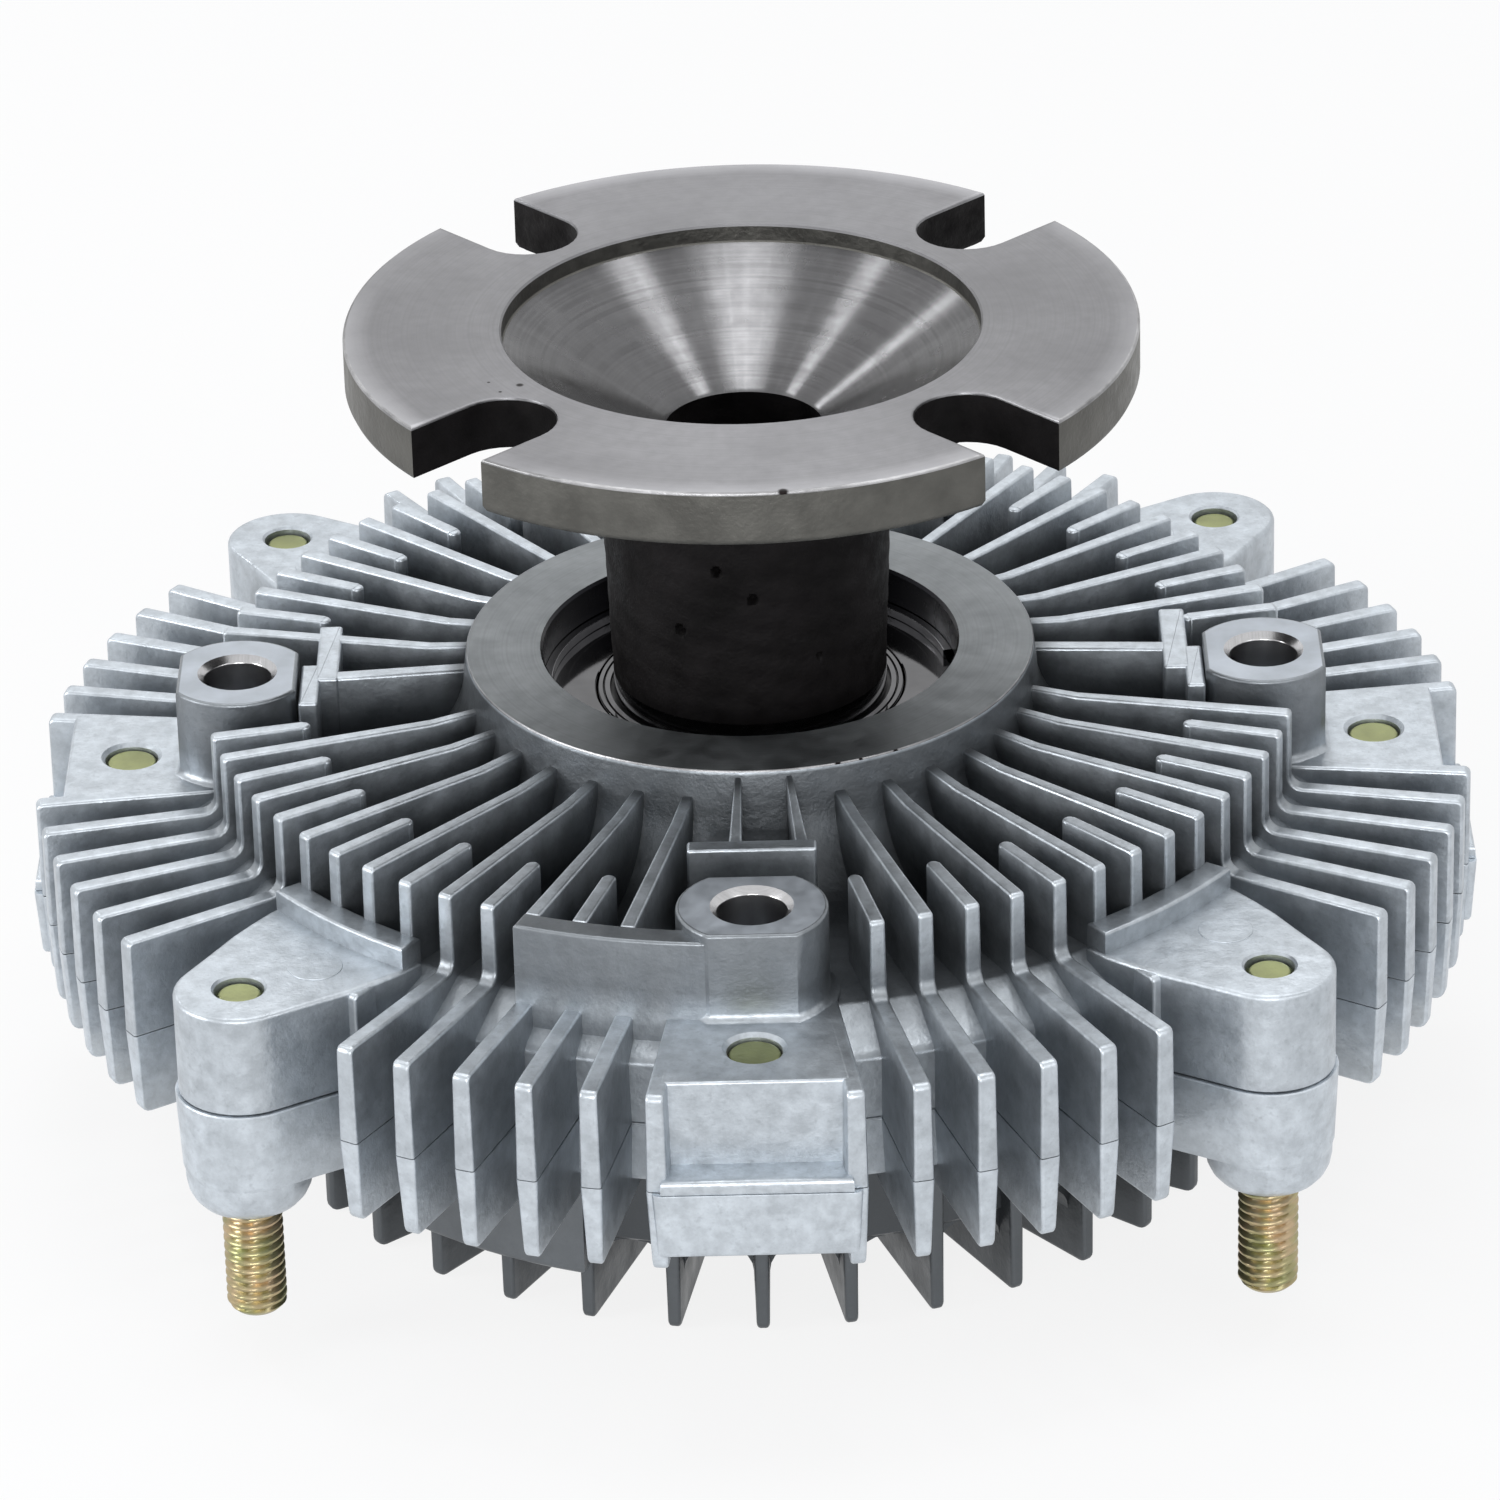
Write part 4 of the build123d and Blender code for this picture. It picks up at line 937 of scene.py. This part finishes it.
def stud_lug_plan():
    """Plan of a stud lug along +X."""
    side = [(55.5, 9.4), (58.5, 9.4), (61.5, 9.0), (64.5, 8.45), (68.0, 7.5)]
    return [(x, -y) for x, y in side] + arc((STUD_R, 0), 6.5, -78, 78, 18) + side[::-1]


def stud_lugs(bm):
    """Lugs over the fan studs, with the round mark of an ejector pin."""
    mouth = bored(STUD_LUG_Z, ((2.75, 0), (2.5, 0.25), (2.5, 1.2), (2.6, 1.3), (2.6, 3.0)))
    levels = [(0.05, 0.12), (0.17, 0.0), *round_levels(1.0, STUD_LUG_Z, 0, 0.5)]
    mark = round_levels(STUD_LUG_Z - 0.2, STUD_LUG_Z + 0.07, 0, 0.05)
    for turn in LUG_TURNS:
        pillar(bm, stud_lug_plan(), levels, upright(turn), holes=[((STUD_R, 0), mouth, 0)])
        pillar(bm, circle((63.2, 2.4), 2.7, 40), mark, upright(turn))


class CLUTCH_OT_rear_casting(bpy.types.Operator):
    """Finned rear body with its bosses, bars and lugs"""

    bl_idname = "clutch.rear_casting"
    bl_label = "Rear casting"

    def execute(self, context):
        thickness, edge = shapes().fin_thickness / MM, shapes().edge_round / MM
        bm = bmesh.new()
        rear_shell(bm, shapes().lathe_steps)
        rear_fins(bm, thickness, edge)
        tapped_bosses(bm, edge)
        cross_bars(bm, thickness, edge)
        arc_walls(bm, edge)
        flat_lugs(bm, edge)
        stud_lugs(bm)
        names = ("cast_skin", "collar_face", "ground_steel", "boss_face", "bright_edge")
        names += ("oiled_bore", "cast_wall", "lug_skin")
        finish(bm, "rear_casting", "housing", names, "rear_body", sharp=38)
        return {"FINISHED"}


def cover_shell(bm, steps):
    """Body of the front casting: rim, dome, valve boss and reservoir."""
    rim = [(57.0, -0.04), (60.75, -0.04), (60.9, -0.22), (60.9, -5.8), (60.6, -6.4), (60.0, -6.6)]
    dome = [(50.6, -6.6), (49.5, -7.6), (49.5, -20.1), (49.1, -20.5), (9.0, -20.5)]
    boss = [(8.0, -20.55), (3.6, -20.55), (3.05, -20.6), (3.05, -8.0), (7.0, -8.0)]
    reservoir = [(7.0, -16.8), (44.0, -16.8), (44.0, -3.6), (57.0, -3.6)]
    lathe(bm, rim + dome + boss + reservoir, None, steps)


def cover_fins(bm, thickness, edge):
    """Outer fins of the front casting."""
    for turns, reach in ((FREE_TURNS, LOWER_R), (STUB_TURNS, STUB_R)):
        corners = [(47.6, -SUNK, 0), (47.6, -9.1, 0), (reach - 0.5, -9.1, 1.1), (reach, -SUNK, 0)]
        for turn in turns:
            plate(bm, rounded(corners), turn, thickness, edge, cover_fin_width, roof_z=-SEAM_GAP)


def arch_section(room):
    """Half a web's section on each side of its blade, as (height, offset)."""
    root = min(ARCH_R, room)
    side = [(BLADE_T / 2 + root, -19.0)]
    for step in range(6):
        a = radians(18 * step)
        side.append((BLADE_T / 2 - 0.1 + root * (1 - sin(a)), -20.5 - root * (1 - cos(a))))
    return side + [(-t, z) for t, z in reversed(side)]


def blades(bm):
    """Straight blades on the front face, with a round arch between their roots."""
    pitch = 360 / BLADE_COUNT
    low, under, root_z = -SEAM, -6.8, -19.8
    corners = [(24.0, root_z, 0), (24.0, low, 1.0), (51.3, low, 1.0)]
    corners += [(51.3, under, 0), (48.3, under, 0), (48.3, root_z, 0)]
    for k in range(BLADE_COUNT):
        plate(bm, rounded(corners), pitch * k, BLADE_T, 0.5, blade_width)
    for k in range(BLADE_COUNT):
        rings = []
        place = on_radius(pitch * k)
        for reach in (24.6, 30.0, 36.0, 42.0, 45.5, 49.0):
            section = arch_section(reach * radians(pitch) / 2 - BLADE_T / 2)
            rings.append([bm.verts.new(place(reach, z, t)) for t, z in section])
        skin(bm, rings)
        fill(bm, [rings[0]])
        fill(bm, [rings[-1]])


def cover_lugs(bm):
    """Front halves of the lugs, with the cones that the studs pass through."""
    half = 74 * LUG_SINE + 0.55
    corners = [(54.0, -half + 1.6, 0), (74.0, -half, 0.8), (74.0, half, 0.8), (54.0, half - 1.6, 0)]
    head = [(5.15, -7.2), (5.15, -3.9), (3.2, -3.85), (3.2, -3.0)]
    levels = [(-7.2, 1.0), (-7.05, 0.65), (-6.7, 0.45), (-0.2, 0.0), (-0.02, 0.03)]
    for turn in BOSS_TURNS:
        pillar(bm, rounded(corners), levels, upright(turn), low_holes=[((SCREW_R, 0), head, 0)])
    swell, cone_r = 0.35, 6.3
    levels = [(-9.4, 1.6), (-9.2, 0.8), (-8.8, 0.2), (-8.2, 0.0), (-0.2, -swell), (-0.05, 0.12 - swell)]
    nose = [(3.45, -13.0), (4.3, -12.9), (5.1, -12.45), (5.7, -11.75), (6.1, -10.9), (6.28, -9.9)]
    nose.append((cone_r, -8.5))
    mouth = ((STUD_R, 0), [(3.1, -13.0), (3.05, -12.0)], 0)
    for turn in LUG_TURNS:
        pillar(bm, stud_lug_plan(), levels, upright(turn))
        nose_levels = [(z, cone_r - r) for r, z in nose]
        pillar(bm, circle((STUD_R, 0), cone_r, 48), nose_levels, upright(turn), low_holes=[mouth])


def cover_pad(bm):
    """Plain pad on the dome, below the fins left of the front boss."""
    outline = arc((0, 0), 52.8, -130.8, -109.5, 18) + arc((0, 0), 48.0, -109.5, -130.8, 18)
    pillar(bm, outline, round_levels(-23.2, -5.0, 0.8, 0), upright(), 1)


class CLUTCH_OT_front_casting(bpy.types.Operator):
    """Finned front cover with its straight blades"""

    bl_idname = "clutch.front_casting"
    bl_label = "Front casting"

    def execute(self, context):
        thickness, edge = shapes().fin_thickness / MM, shapes().edge_round / MM
        bm = bmesh.new()
        cover_shell(bm, shapes().lathe_steps)
        cover_fins(bm, thickness, edge)
        blades(bm)
        cover_lugs(bm)
        cover_pad(bm)
        names = ("cover_skin", "pad_skin")
        finish(bm, "front_casting", "housing", names, "front_cover")
        return {"FINISHED"}


# Driving flange


def shaft_skin(spot):
    """Shallow unevenness and pits of the forged shaft."""
    angle = atan2(spot.y, spot.x)
    reach = hypot(spot.x, spot.y)
    if spot.z < LAND_Z or spot.z > NECK_Z:
        return spot
    dent = 0.05 * (sin(5 * angle + spot.z * 0.9) * sin(spot.z * 1.3 + 2 * angle)) - 0.03
    for turn, height, size in PITS:
        away = hypot(reach * radians(apart(degrees(angle), turn)), spot.z - height)
        dent -= 1.1 * max(0.0, 1 - (away / size) ** 2)
    share = (reach + dent) / reach
    return Vector((spot.x * share, spot.y * share, spot.z))


def flange_outline():
    """Plan of the flange: round, with four open slots."""
    outline = []
    lip = sqrt(FLANGE_R**2 - SLOT_HALF**2)
    mouth = degrees(atan2(SLOT_HALF, sqrt(39.99**2 - SLOT_HALF**2)))
    slot = [(lip, -SLOT_HALF), *arc((SLOT_R, 0), SLOT_HALF, 270, 90, 16), (lip, SLOT_HALF)]
    for k in range(4):
        turn = SLOT_TURN + 90 * k
        c, s = cos(radians(turn)), sin(radians(turn))
        outline += [(x * c - y * s, x * s + y * c) for x, y in slot]
        outline += arc((0, 0), FLANGE_R, turn + mouth + 1, turn + 90 - mouth - 1, 40)
    return outline


def flange_plate(bm):
    """Slotted plate with rounded rims, open over the cone."""
    top, bottom = FLANGE_Z, FLANGE_Z - FLANGE_T
    levels = [(bottom, 0.8), (bottom + 0.25, 0.25), (bottom + 0.8, 0.0)]
    levels += [(top - 0.3, 0.0), (top - 0.09, 0.09), (top, 0.3)]
    outline = flange_outline()
    rings = [ring(bm, inset(outline, d), h, upright()) for h, d in levels]
    for face in skin(bm, rings):
        spot = face.calc_center_median()
        is_round = hypot(spot.x, spot.y) > FLANGE_R - 0.8
        if spot.z > top - 0.3:
            face.material_index = 5 if is_round else 0
        else:
            face.material_index = 2 if is_round else 3
    hole = [ring(bm, circle((0, 0), CONE_R, 120), h, upright()) for h in (bottom, top)]
    skin(bm, hole, 3)
    fill(bm, [rings[0], hole[0]], 3)
    fill(bm, [rings[-1], hole[1]], 0)


def cone_and_bore(bm, steps):
    """Shallow recess, polished cone and pilot bore."""
    recess = ((CONE_R, 0), (24.3, 0), (24.1, 0.2), (24.1, 1.75), (23.95, 1.9))
    bore = ((8.35, 11.1), (8.0, 11.5), (8.0, 25.0), (0.0, 29.6))
    mats = [0, 0, 4, 4, 1, 1, 3, 3, 3]
    lathe(bm, bored(FLANGE_Z, recess + bore), mats, steps, closed=False)


def rough_shaft(bm, steps):
    """Inner end, ground land, drafted shaft with its pits, and the neck."""
    bottom = FLANGE_Z - FLANGE_T
    profile = [(0.0, -1.2), (8.9, -1.2), (9.0, -1.1), (9.0, 5.5), (12.5, 5.5), (12.5, 17.4)]
    polished = len(profile)
    profile += [(SHAFT_R, 17.4), (SHAFT_R, LAND_Z - 0.1)]
    heights = [LAND_Z + (NECK_Z - LAND_Z) * k / 70 for k in range(71)]
    profile += [(shaft_radius(z), z) for z in heights]
    profile += arc((SHAFT_TOP_R + 6.5, NECK_Z), 6.5, 180, 130, 6)[1:]
    profile += [(26.8, bottom), (27.5, bottom)]
    mats = [6 if k == polished else 3 for k in range(len(profile))]
    lathe(bm, profile, mats, 2 * steps, shaft_skin, closed=False)


class CLUTCH_OT_drive_flange(bpy.types.Operator):
    """Driving flange with its cone, neck and rough shaft"""

    bl_idname = "clutch.drive_flange"
    bl_label = "Driving flange"

    def execute(self, context):
        bm = bmesh.new()
        flange_plate(bm)
        cone_and_bore(bm, shapes().lathe_steps)
        rough_shaft(bm, shapes().lathe_steps)
        names = ("flange_face", "cone_face", "rim_face", "forging_scale")
        names += ("rim_face", "bright_edge", "shaft_land")
        finish(bm, "drive_flange", "drive", names, "drive_hub")
        return {"FINISHED"}


# Bearing


def inner_ring(steps):
    """Inner ring, with the grooves that show round the shaft."""
    bm = bmesh.new()
    profile = [(12.52, 5.5), (15.35, 5.5), (15.72, 5.75), (15.72, 17.35), (15.6, 17.5)]
    mats = [0] * len(profile) + [1, 1, 1, 0, 1, 1, 0]
    profile += [(15.2, 17.5), (15.15, 17.2), (15.0, 17.2), (14.95, 17.5)]
    profile += [(14.45, 17.5), (14.4, 17.1), (12.52, 17.1)]
    lathe(bm, profile, mats, steps)
    names = ("bearing_face", "rubber_seal")
    finish(bm, "bearing_inner", "drive", names, "bearing_inner_ring")


def outer_ring(steps):
    """Outer ring with round corners."""
    bm = bmesh.new()
    profile = [(18.2, 6.3), (18.85, 6.3), (18.85, 5.5), (20.7, 5.5), (20.98, 5.8)]
    profile += [(20.98, 17.2), (20.7, 17.5), (18.85, 17.5), (18.85, 16.7), (18.2, 16.7)]
    lathe(bm, profile, None, steps)
    finish(bm, "bearing_outer", "housing", ("bearing_face",), "bearing_outer_ring")


def shield(node, low, high, finish_name, steps):
    """Flat ring between the bearing's rings, its lip on the outer side."""
    bm = bmesh.new()
    up = 1 if high > low else -1
    face, lip = high - 0.01 * up, high - 0.11 * up
    lathe(bm, [(15.9, low), (18.87, low), (18.87, face), (16.0, face), (15.9, lip)], None, steps)
    finish(bm, node + "_face", "housing", (finish_name,), node)


def collar_clip(gap=12.0):
    """Open ring that holds the bearing, from one side of its gap to the other."""
    bm = bmesh.new()
    band = arc((0, 0), 22.1, gap, 360 - gap, 90) + arc((0, 0), 20.3, 360 - gap, gap, 90)
    pillar(bm, band, round_levels(17.5, 18.5, 0.12, 0.12, 2), upright())
    finish(bm, "collar_clip", "housing", ("spring_steel",), "bearing_clip")


class CLUTCH_OT_bearing_face(bpy.types.Operator):
    """Rings, shields and clip that show inside the collar"""

    bl_idname = "clutch.bearing_face"
    bl_label = "Bearing face"

    def execute(self, context):
        steps = shapes().lathe_steps
        inner_ring(steps)
        outer_ring(steps)
        shield("bearing_rear_shield", 16.7, 17.5, "bearing_face", steps)
        shield("bearing_front_shield", 6.3, 5.5, "rubber_seal", steps)
        collar_clip()
        return {"FINISHED"}


# Fasteners


def threaded(bm, centre, low, high, radius, pitch, depth):
    """Threaded rod: a helical surface, with a lead chamfer at its low end."""
    around, per_turn, lead = 40, 8, 0.7
    rows = int((high - low) / pitch * per_turn)
    rings = []
    for row in range(rows + 1):
        z = low + (high - low) * row / rows
        level = []
        for k in range(around):
            phase = ((z - low) / pitch - k / around) % 1.0
            crest = min(1.0, max(0.0, 1.35 - 2.7 * abs(phase - 0.5)))
            r = min(radius - depth * (1 - crest), radius - lead + z - low)
            a = 2 * pi * k / around
            level.append(bm.verts.new((centre[0] + r * cos(a), centre[1] + r * sin(a), z)))
        rings.append(level)
    skin(bm, rings)
    fill(bm, [rings[0]])
    fill(bm, [rings[-1]])


class CLUTCH_OT_fan_studs(bpy.types.Operator):
    """Threaded studs for the fan and their ends in the lugs"""

    bl_idname = "clutch.fan_studs"
    bl_label = "Fan studs"

    def execute(self, context):
        bm = bmesh.new()
        pitch = shapes().thread_pitch / MM
        tip_inset = 0.45
        tip = round_levels(STUD_LUG_Z - 1.4, STUD_LUG_Z - 0.6, 0, 0.3)[1:]
        levels = [(-13.0, 0), (STUD_LUG_Z - 1.6, 0), (STUD_LUG_Z - 1.5, tip_inset)]
        levels += [(h, d + tip_inset) for h, d in tip]
        for turn in LUG_TURNS:
            centre = (STUD_R * cos(radians(turn)), STUD_R * sin(radians(turn)))
            threaded(bm, centre, -25.2, -12.6, 3.0, pitch, 0.5)
            pillar(bm, circle((STUD_R, 0), 2.6, 32), levels, upright(turn), 1)
        plated = ("zinc_plate", "plated_end")
        finish(bm, "fan_stud_set", "housing", plated, "fan_studs", sharp=40)
        return {"FINISHED"}


def seam_screw(bm, place):
    """Screw with a hexagon socket in its head, and its end in the lug."""
    centre = (SCREW_R, 0)
    low, seat = -7.0, -3.8
    head = ((4.5, low), (4.8, low + 0.15), (4.9, low + 0.5), (4.9, seat))
    rings = [ring(bm, circle(centre, r, 48), h, place) for r, h in head]
    skin(bm, rings)
    socket = [ring(bm, circle(centre, 2.3, 6), h, place) for h in (low, low + 1.9)]
    skin(bm, socket)
    fill(bm, [socket[1]])
    fill(bm, [rings[0], socket[0]])
    fill(bm, [rings[-1]])
    pillar(bm, circle(centre, 3.0, 32), [(seat - 0.1, 0), (LUG_Z - 1.3, 0)], place)
    pillar(bm, circle(centre, 2.55, 32), round_levels(LUG_Z - 1.5, LUG_Z - 0.6, 0, 0.3), place, 1)


class CLUTCH_OT_seam_screws(bpy.types.Operator):
    """Socket screws that close the seam"""

    bl_idname = "clutch.seam_screws"
    bl_label = "Seam screws"

    def execute(self, context):
        bm = bmesh.new()
        for turn in BOSS_TURNS:
            seam_screw(bm, upright(turn))
        plated = ("zinc_plate", "plated_end")
        finish(bm, "seam_screw_set", "housing", plated, "seam_screws")
        return {"FINISHED"}


# Temperature coil and hidden pieces


def coil_strip(start, pitch, thick, reach):
    """Flat strip wound in half circles, with a straight tail."""
    bm = bmesh.new()
    inner, outer = [], []
    for k in range(10):
        middle = (k % 2) * pitch / 2
        radius = start + k * pitch / 2
        for step in range(24):
            a = radians(180 * k + 180 * step / 24)
            inner.append((middle + radius * cos(a), radius * sin(a)))
            outer.append((middle + (radius + thick) * cos(a), (radius + thick) * sin(a)))
    inner += [(reach, 0.0), (reach, 5.2)]
    outer += [(reach + thick, 0.0), (reach + thick, 5.2)]
    top = -22.0
    levels = [(top - 5.0, 0.1), (top - 4.85, 0.0), (top - 0.15, 0.0), (top, 0.1)]
    pillar(bm, outer + inner[::-1], levels, upright())
    finish(bm, "coil_strip", "housing", ("bimetal_strip",), "bimetal_coil")


def coil_post(x, y):
    """Two jaws on a foot, with the coil's tail between them."""
    bm = bmesh.new()
    for side in (-1, 1):
        near, far = sorted((side * 0.52, side * 2.3))
        jaw = box_corners(x + near, x + far, y - 2.5, y + 2.5)
        pillar(bm, rounded(jaw), round_levels(-27.0, -21.5, 0.3, 0), upright())
    foot = box_corners(x - 2.3, x + 2.3, y - 2.5, y + 2.5)
    pillar(bm, rounded(foot), [(-21.95, 0), (-20.5, 0)], upright())
    finish(bm, "coil_post", "housing", ("pressed_steel",), "coil_anchor")


class CLUTCH_OT_front_coil(bpy.types.Operator):
    """Bimetal coil and its anchor"""

    bl_idname = "clutch.front_coil"
    bl_label = "Front coil"

    def execute(self, context):
        start, pitch, thick = 4.0, 2.9, 0.9
        reach = start + 5 * pitch
        coil_strip(start, pitch, thick, reach)
        coil_post(reach + thick / 2, 3.2)
        return {"FINISHED"}


class CLUTCH_OT_inner_works(bpy.types.Operator):
    """Finishes of the pieces that keep their CAD shape"""

    bl_idname = "clutch.inner_works"
    bl_label = "Inner works"

    def execute(self, context):
        finishes = {
            "bearing_balls": "ground_steel",
            "bearing_cage": "moulded_cage",
            "seam_seal": "rubber_seal",
            "clutch_disc": "collar_face",
            "disc_clip": "spring_steel",
            "divider_plate": "pressed_steel",
            "plate_rivets": "pressed_steel",
            "fluid_wiper": "moulded_cage",
            "valve_shaft": "ground_steel",
            "valve_arm": "pressed_steel",
            "valve_clip": "spring_steel",
            "valve_seal": "rubber_seal",
        }
        for node, finish_name in finishes.items():
            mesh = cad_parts[node].data
            mesh.materials.clear()
            mesh.materials.append(look_of(finish_name))
        return {"FINISHED"}


# Stage


# Lamps: place, width, height and power in watts, aimed at one point of the shaft
LAMP_AIM = (0, 0, 0.05)
LAMPS = {
    "lamp_left": ((-0.70, -0.24, 0.26), 0.35, 0.35, 2.9),
    "lamp_front": ((-0.06, -1.17, 0.27), 0.60, 0.42, 5.6),
    "lamp_right": ((0.48, -0.50, 0.36), 0.30, 0.30, 0.6),
    "lamp_back": ((0.0, 0.48, 0.60), 0.35, 0.35, 0.65),
    "lamp_top": ((-0.02, 0.03, 0.95), 0.30, 0.30, 1.5),
    "lamp_streak_1": ((0.36, 0.16, 0.87), 0.15, 0.15, 0.60),
    "lamp_streak_2": ((-0.42, 0.22, 0.82), 0.09, 0.09, 0.40),
    "lamp_streak_3": ((-0.52, 0.59, 0.54), 0.09, 0.09, 0.40),
}


def area_lamp(name, place, width, height, power):
    """Soft lamp aimed at the shaft."""
    data = bpy.data.lights.new(name, "AREA")
    data.shape = "RECTANGLE"
    data.size = width
    data.size_y = height
    data.energy = power
    lamp = bpy.data.objects.new(name, data)
    bpy.context.scene.collection.objects.link(lamp)
    lamp.location = place
    lamp.rotation_euler = (Vector(LAMP_AIM) - Vector(place)).to_track_quat("-Z", "Y").to_euler()


def seen_rays(nodes, links):
    """Socket that is 1 for what the camera, a reflection or a clear body sees."""
    path = nodes.new("ShaderNodeLightPath")
    value = path.outputs["Is Camera Ray"]
    for name in ("Is Glossy Ray", "Is Transmission Ray"):
        larger = nodes.new("ShaderNodeMath")
        larger.operation = "MAXIMUM"
        links.new(value, larger.inputs[0])
        links.new(path.outputs[name], larger.inputs[1])
        value = larger.outputs[0]
    return value


def mixed(nodes, links, share, first, second):
    """Shader mixed from two."""
    node = nodes.new("ShaderNodeMixShader")
    for socket, source in zip(node.inputs, (share, first, second)):
        links.new(source, socket)
    return node.outputs[0]


def floor_material():
    """White floor that keeps the object's shadow and is clear from below."""
    material = bpy.data.materials.new("floor_white")
    material.use_nodes = True
    nodes, links = material.node_tree.nodes, material.node_tree.links
    nodes.clear()
    output = nodes.new("ShaderNodeOutputMaterial")
    diffuse = nodes.new("ShaderNodeBsdfDiffuse")
    diffuse.inputs["Color"].default_value = (0.85, 0.85, 0.86, 1)
    glow = nodes.new("ShaderNodeEmission")
    glow.inputs["Color"].default_value = (1, 1, 1, 1)
    glow.inputs["Strength"].default_value = 1.0
    share = nodes.new("ShaderNodeMath")
    share.operation = "MULTIPLY"
    links.new(seen_rays(nodes, links), share.inputs[0])
    share.inputs[1].default_value = 0.85
    pale = mixed(nodes, links, share.outputs[0], diffuse.outputs[0], glow.outputs[0])
    side = nodes.new("ShaderNodeNewGeometry")
    clear = nodes.new("ShaderNodeBsdfTransparent")
    one_way = mixed(nodes, links, side.outputs["Backfacing"], pale, clear.outputs[0])
    links.new(one_way, output.inputs[0])
    return material


def studio_world(fill):
    """Even pale light that is seen as plain white."""
    world = bpy.data.worlds.new("studio")
    world.use_nodes = True
    nodes, links = world.node_tree.nodes, world.node_tree.links
    nodes.clear()
    output = nodes.new("ShaderNodeOutputWorld")
    backgrounds = []
    for colour, strength in (((0.93, 0.96, 1.0, 1), fill), ((1, 1, 1, 1), 1.0)):
        node = nodes.new("ShaderNodeBackground")
        node.inputs["Color"].default_value = colour
        node.inputs["Strength"].default_value = strength
        backgrounds.append(node.outputs[0])
    links.new(mixed(nodes, links, seen_rays(nodes, links), *backgrounds), output.inputs[0])
    return world


def photo_camera(stage):
    """Camera at the photograph's angle."""
    data = bpy.data.cameras.new("photo_camera")
    camera = bpy.data.objects.new("photo_camera", data)
    bpy.context.scene.collection.objects.link(camera)
    data.sensor_width = 36.0
    data.lens = stage.lens
    data.clip_start, data.clip_end = 0.05, 20.0
    rise, turn = stage.elevation, stage.azimuth
    back = Vector((sin(turn) * cos(rise), -cos(turn) * cos(rise), sin(rise)))
    camera.location = back * stage.distance + Vector((0, 0, SEAM * MM))
    gaze = (Vector(stage.aim) - camera.location).to_track_quat("-Z", "Y")
    camera.rotation_mode = "QUATERNION"
    camera.rotation_quaternion = gaze @ Euler((0, 0, -stage.roll)).to_quaternion()
    return camera


class CLUTCH_OT_stage(bpy.types.Operator):
    """Pale floor, soft lamps and the camera"""

    bl_idname = "clutch.stage"
    bl_label = "Stage"

    def execute(self, context):
        scene = context.scene
        stage = scene.clutch_stage
        bpy.ops.mesh.primitive_plane_add(size=6, location=(0, 0, -0.0002))
        floor_piece = context.object
        floor_piece.name = "studio_floor"
        floor_piece.data.materials.append(floor_material())
        scene.world = studio_world(stage.fill)
        for name, (place, width, height, watts) in LAMPS.items():
            area_lamp(name, place, width, height, watts * stage.lamp_power)
        scene.camera = photo_camera(stage)
        scene.view_settings.view_transform = "Standard"
        return {"FINISHED"}


class CLUTCH_PT_panel(bpy.types.Panel):
    """Lists the pieces and their settings"""

    bl_label = "Fan Clutch"
    bl_idname = "CLUTCH_PT_panel"
    bl_space_type = "VIEW_3D"
    bl_region_type = "UI"
    bl_category = "Fan Clutch"

    def draw(self, context):
        layout = self.layout
        for operator in OPERATORS:
            layout.operator(operator.bl_idname)
        for group in (context.scene.clutch_shapes, context.scene.clutch_colours, context.scene.clutch_stage):
            box = layout.box()
            for name in group.bl_rna.properties.keys():
                if name not in ("rna_type", "name"):
                    box.prop(group, name)


OPERATORS = (
    CLUTCH_OT_rear_casting,
    CLUTCH_OT_front_casting,
    CLUTCH_OT_drive_flange,
    CLUTCH_OT_bearing_face,
    CLUTCH_OT_fan_studs,
    CLUTCH_OT_seam_screws,
    CLUTCH_OT_front_coil,
    CLUTCH_OT_inner_works,
    CLUTCH_OT_stage,
)
CLASSES = (ClutchShapes, ClutchColours, ClutchStage, *OPERATORS, CLUTCH_PT_panel)


def register():
    """Adds the classes and their settings."""
    for item in CLASSES:
        bpy.utils.register_class(item)
    bpy.types.Scene.clutch_shapes = PointerProperty(type=ClutchShapes)
    bpy.types.Scene.clutch_colours = PointerProperty(type=ClutchColours)
    bpy.types.Scene.clutch_stage = PointerProperty(type=ClutchStage)


def unregister():
    """Takes the classes and their settings away."""
    del bpy.types.Scene.clutch_shapes
    del bpy.types.Scene.clutch_colours
    del bpy.types.Scene.clutch_stage
    for item in reversed(CLASSES):
        bpy.utils.unregister_class(item)


def main():
    """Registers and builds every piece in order."""
    register()
    for operator in OPERATORS:
        group, name = operator.bl_idname.split(".")
        getattr(getattr(bpy.ops, group), name)()


if __name__ == "__main__":
    main()
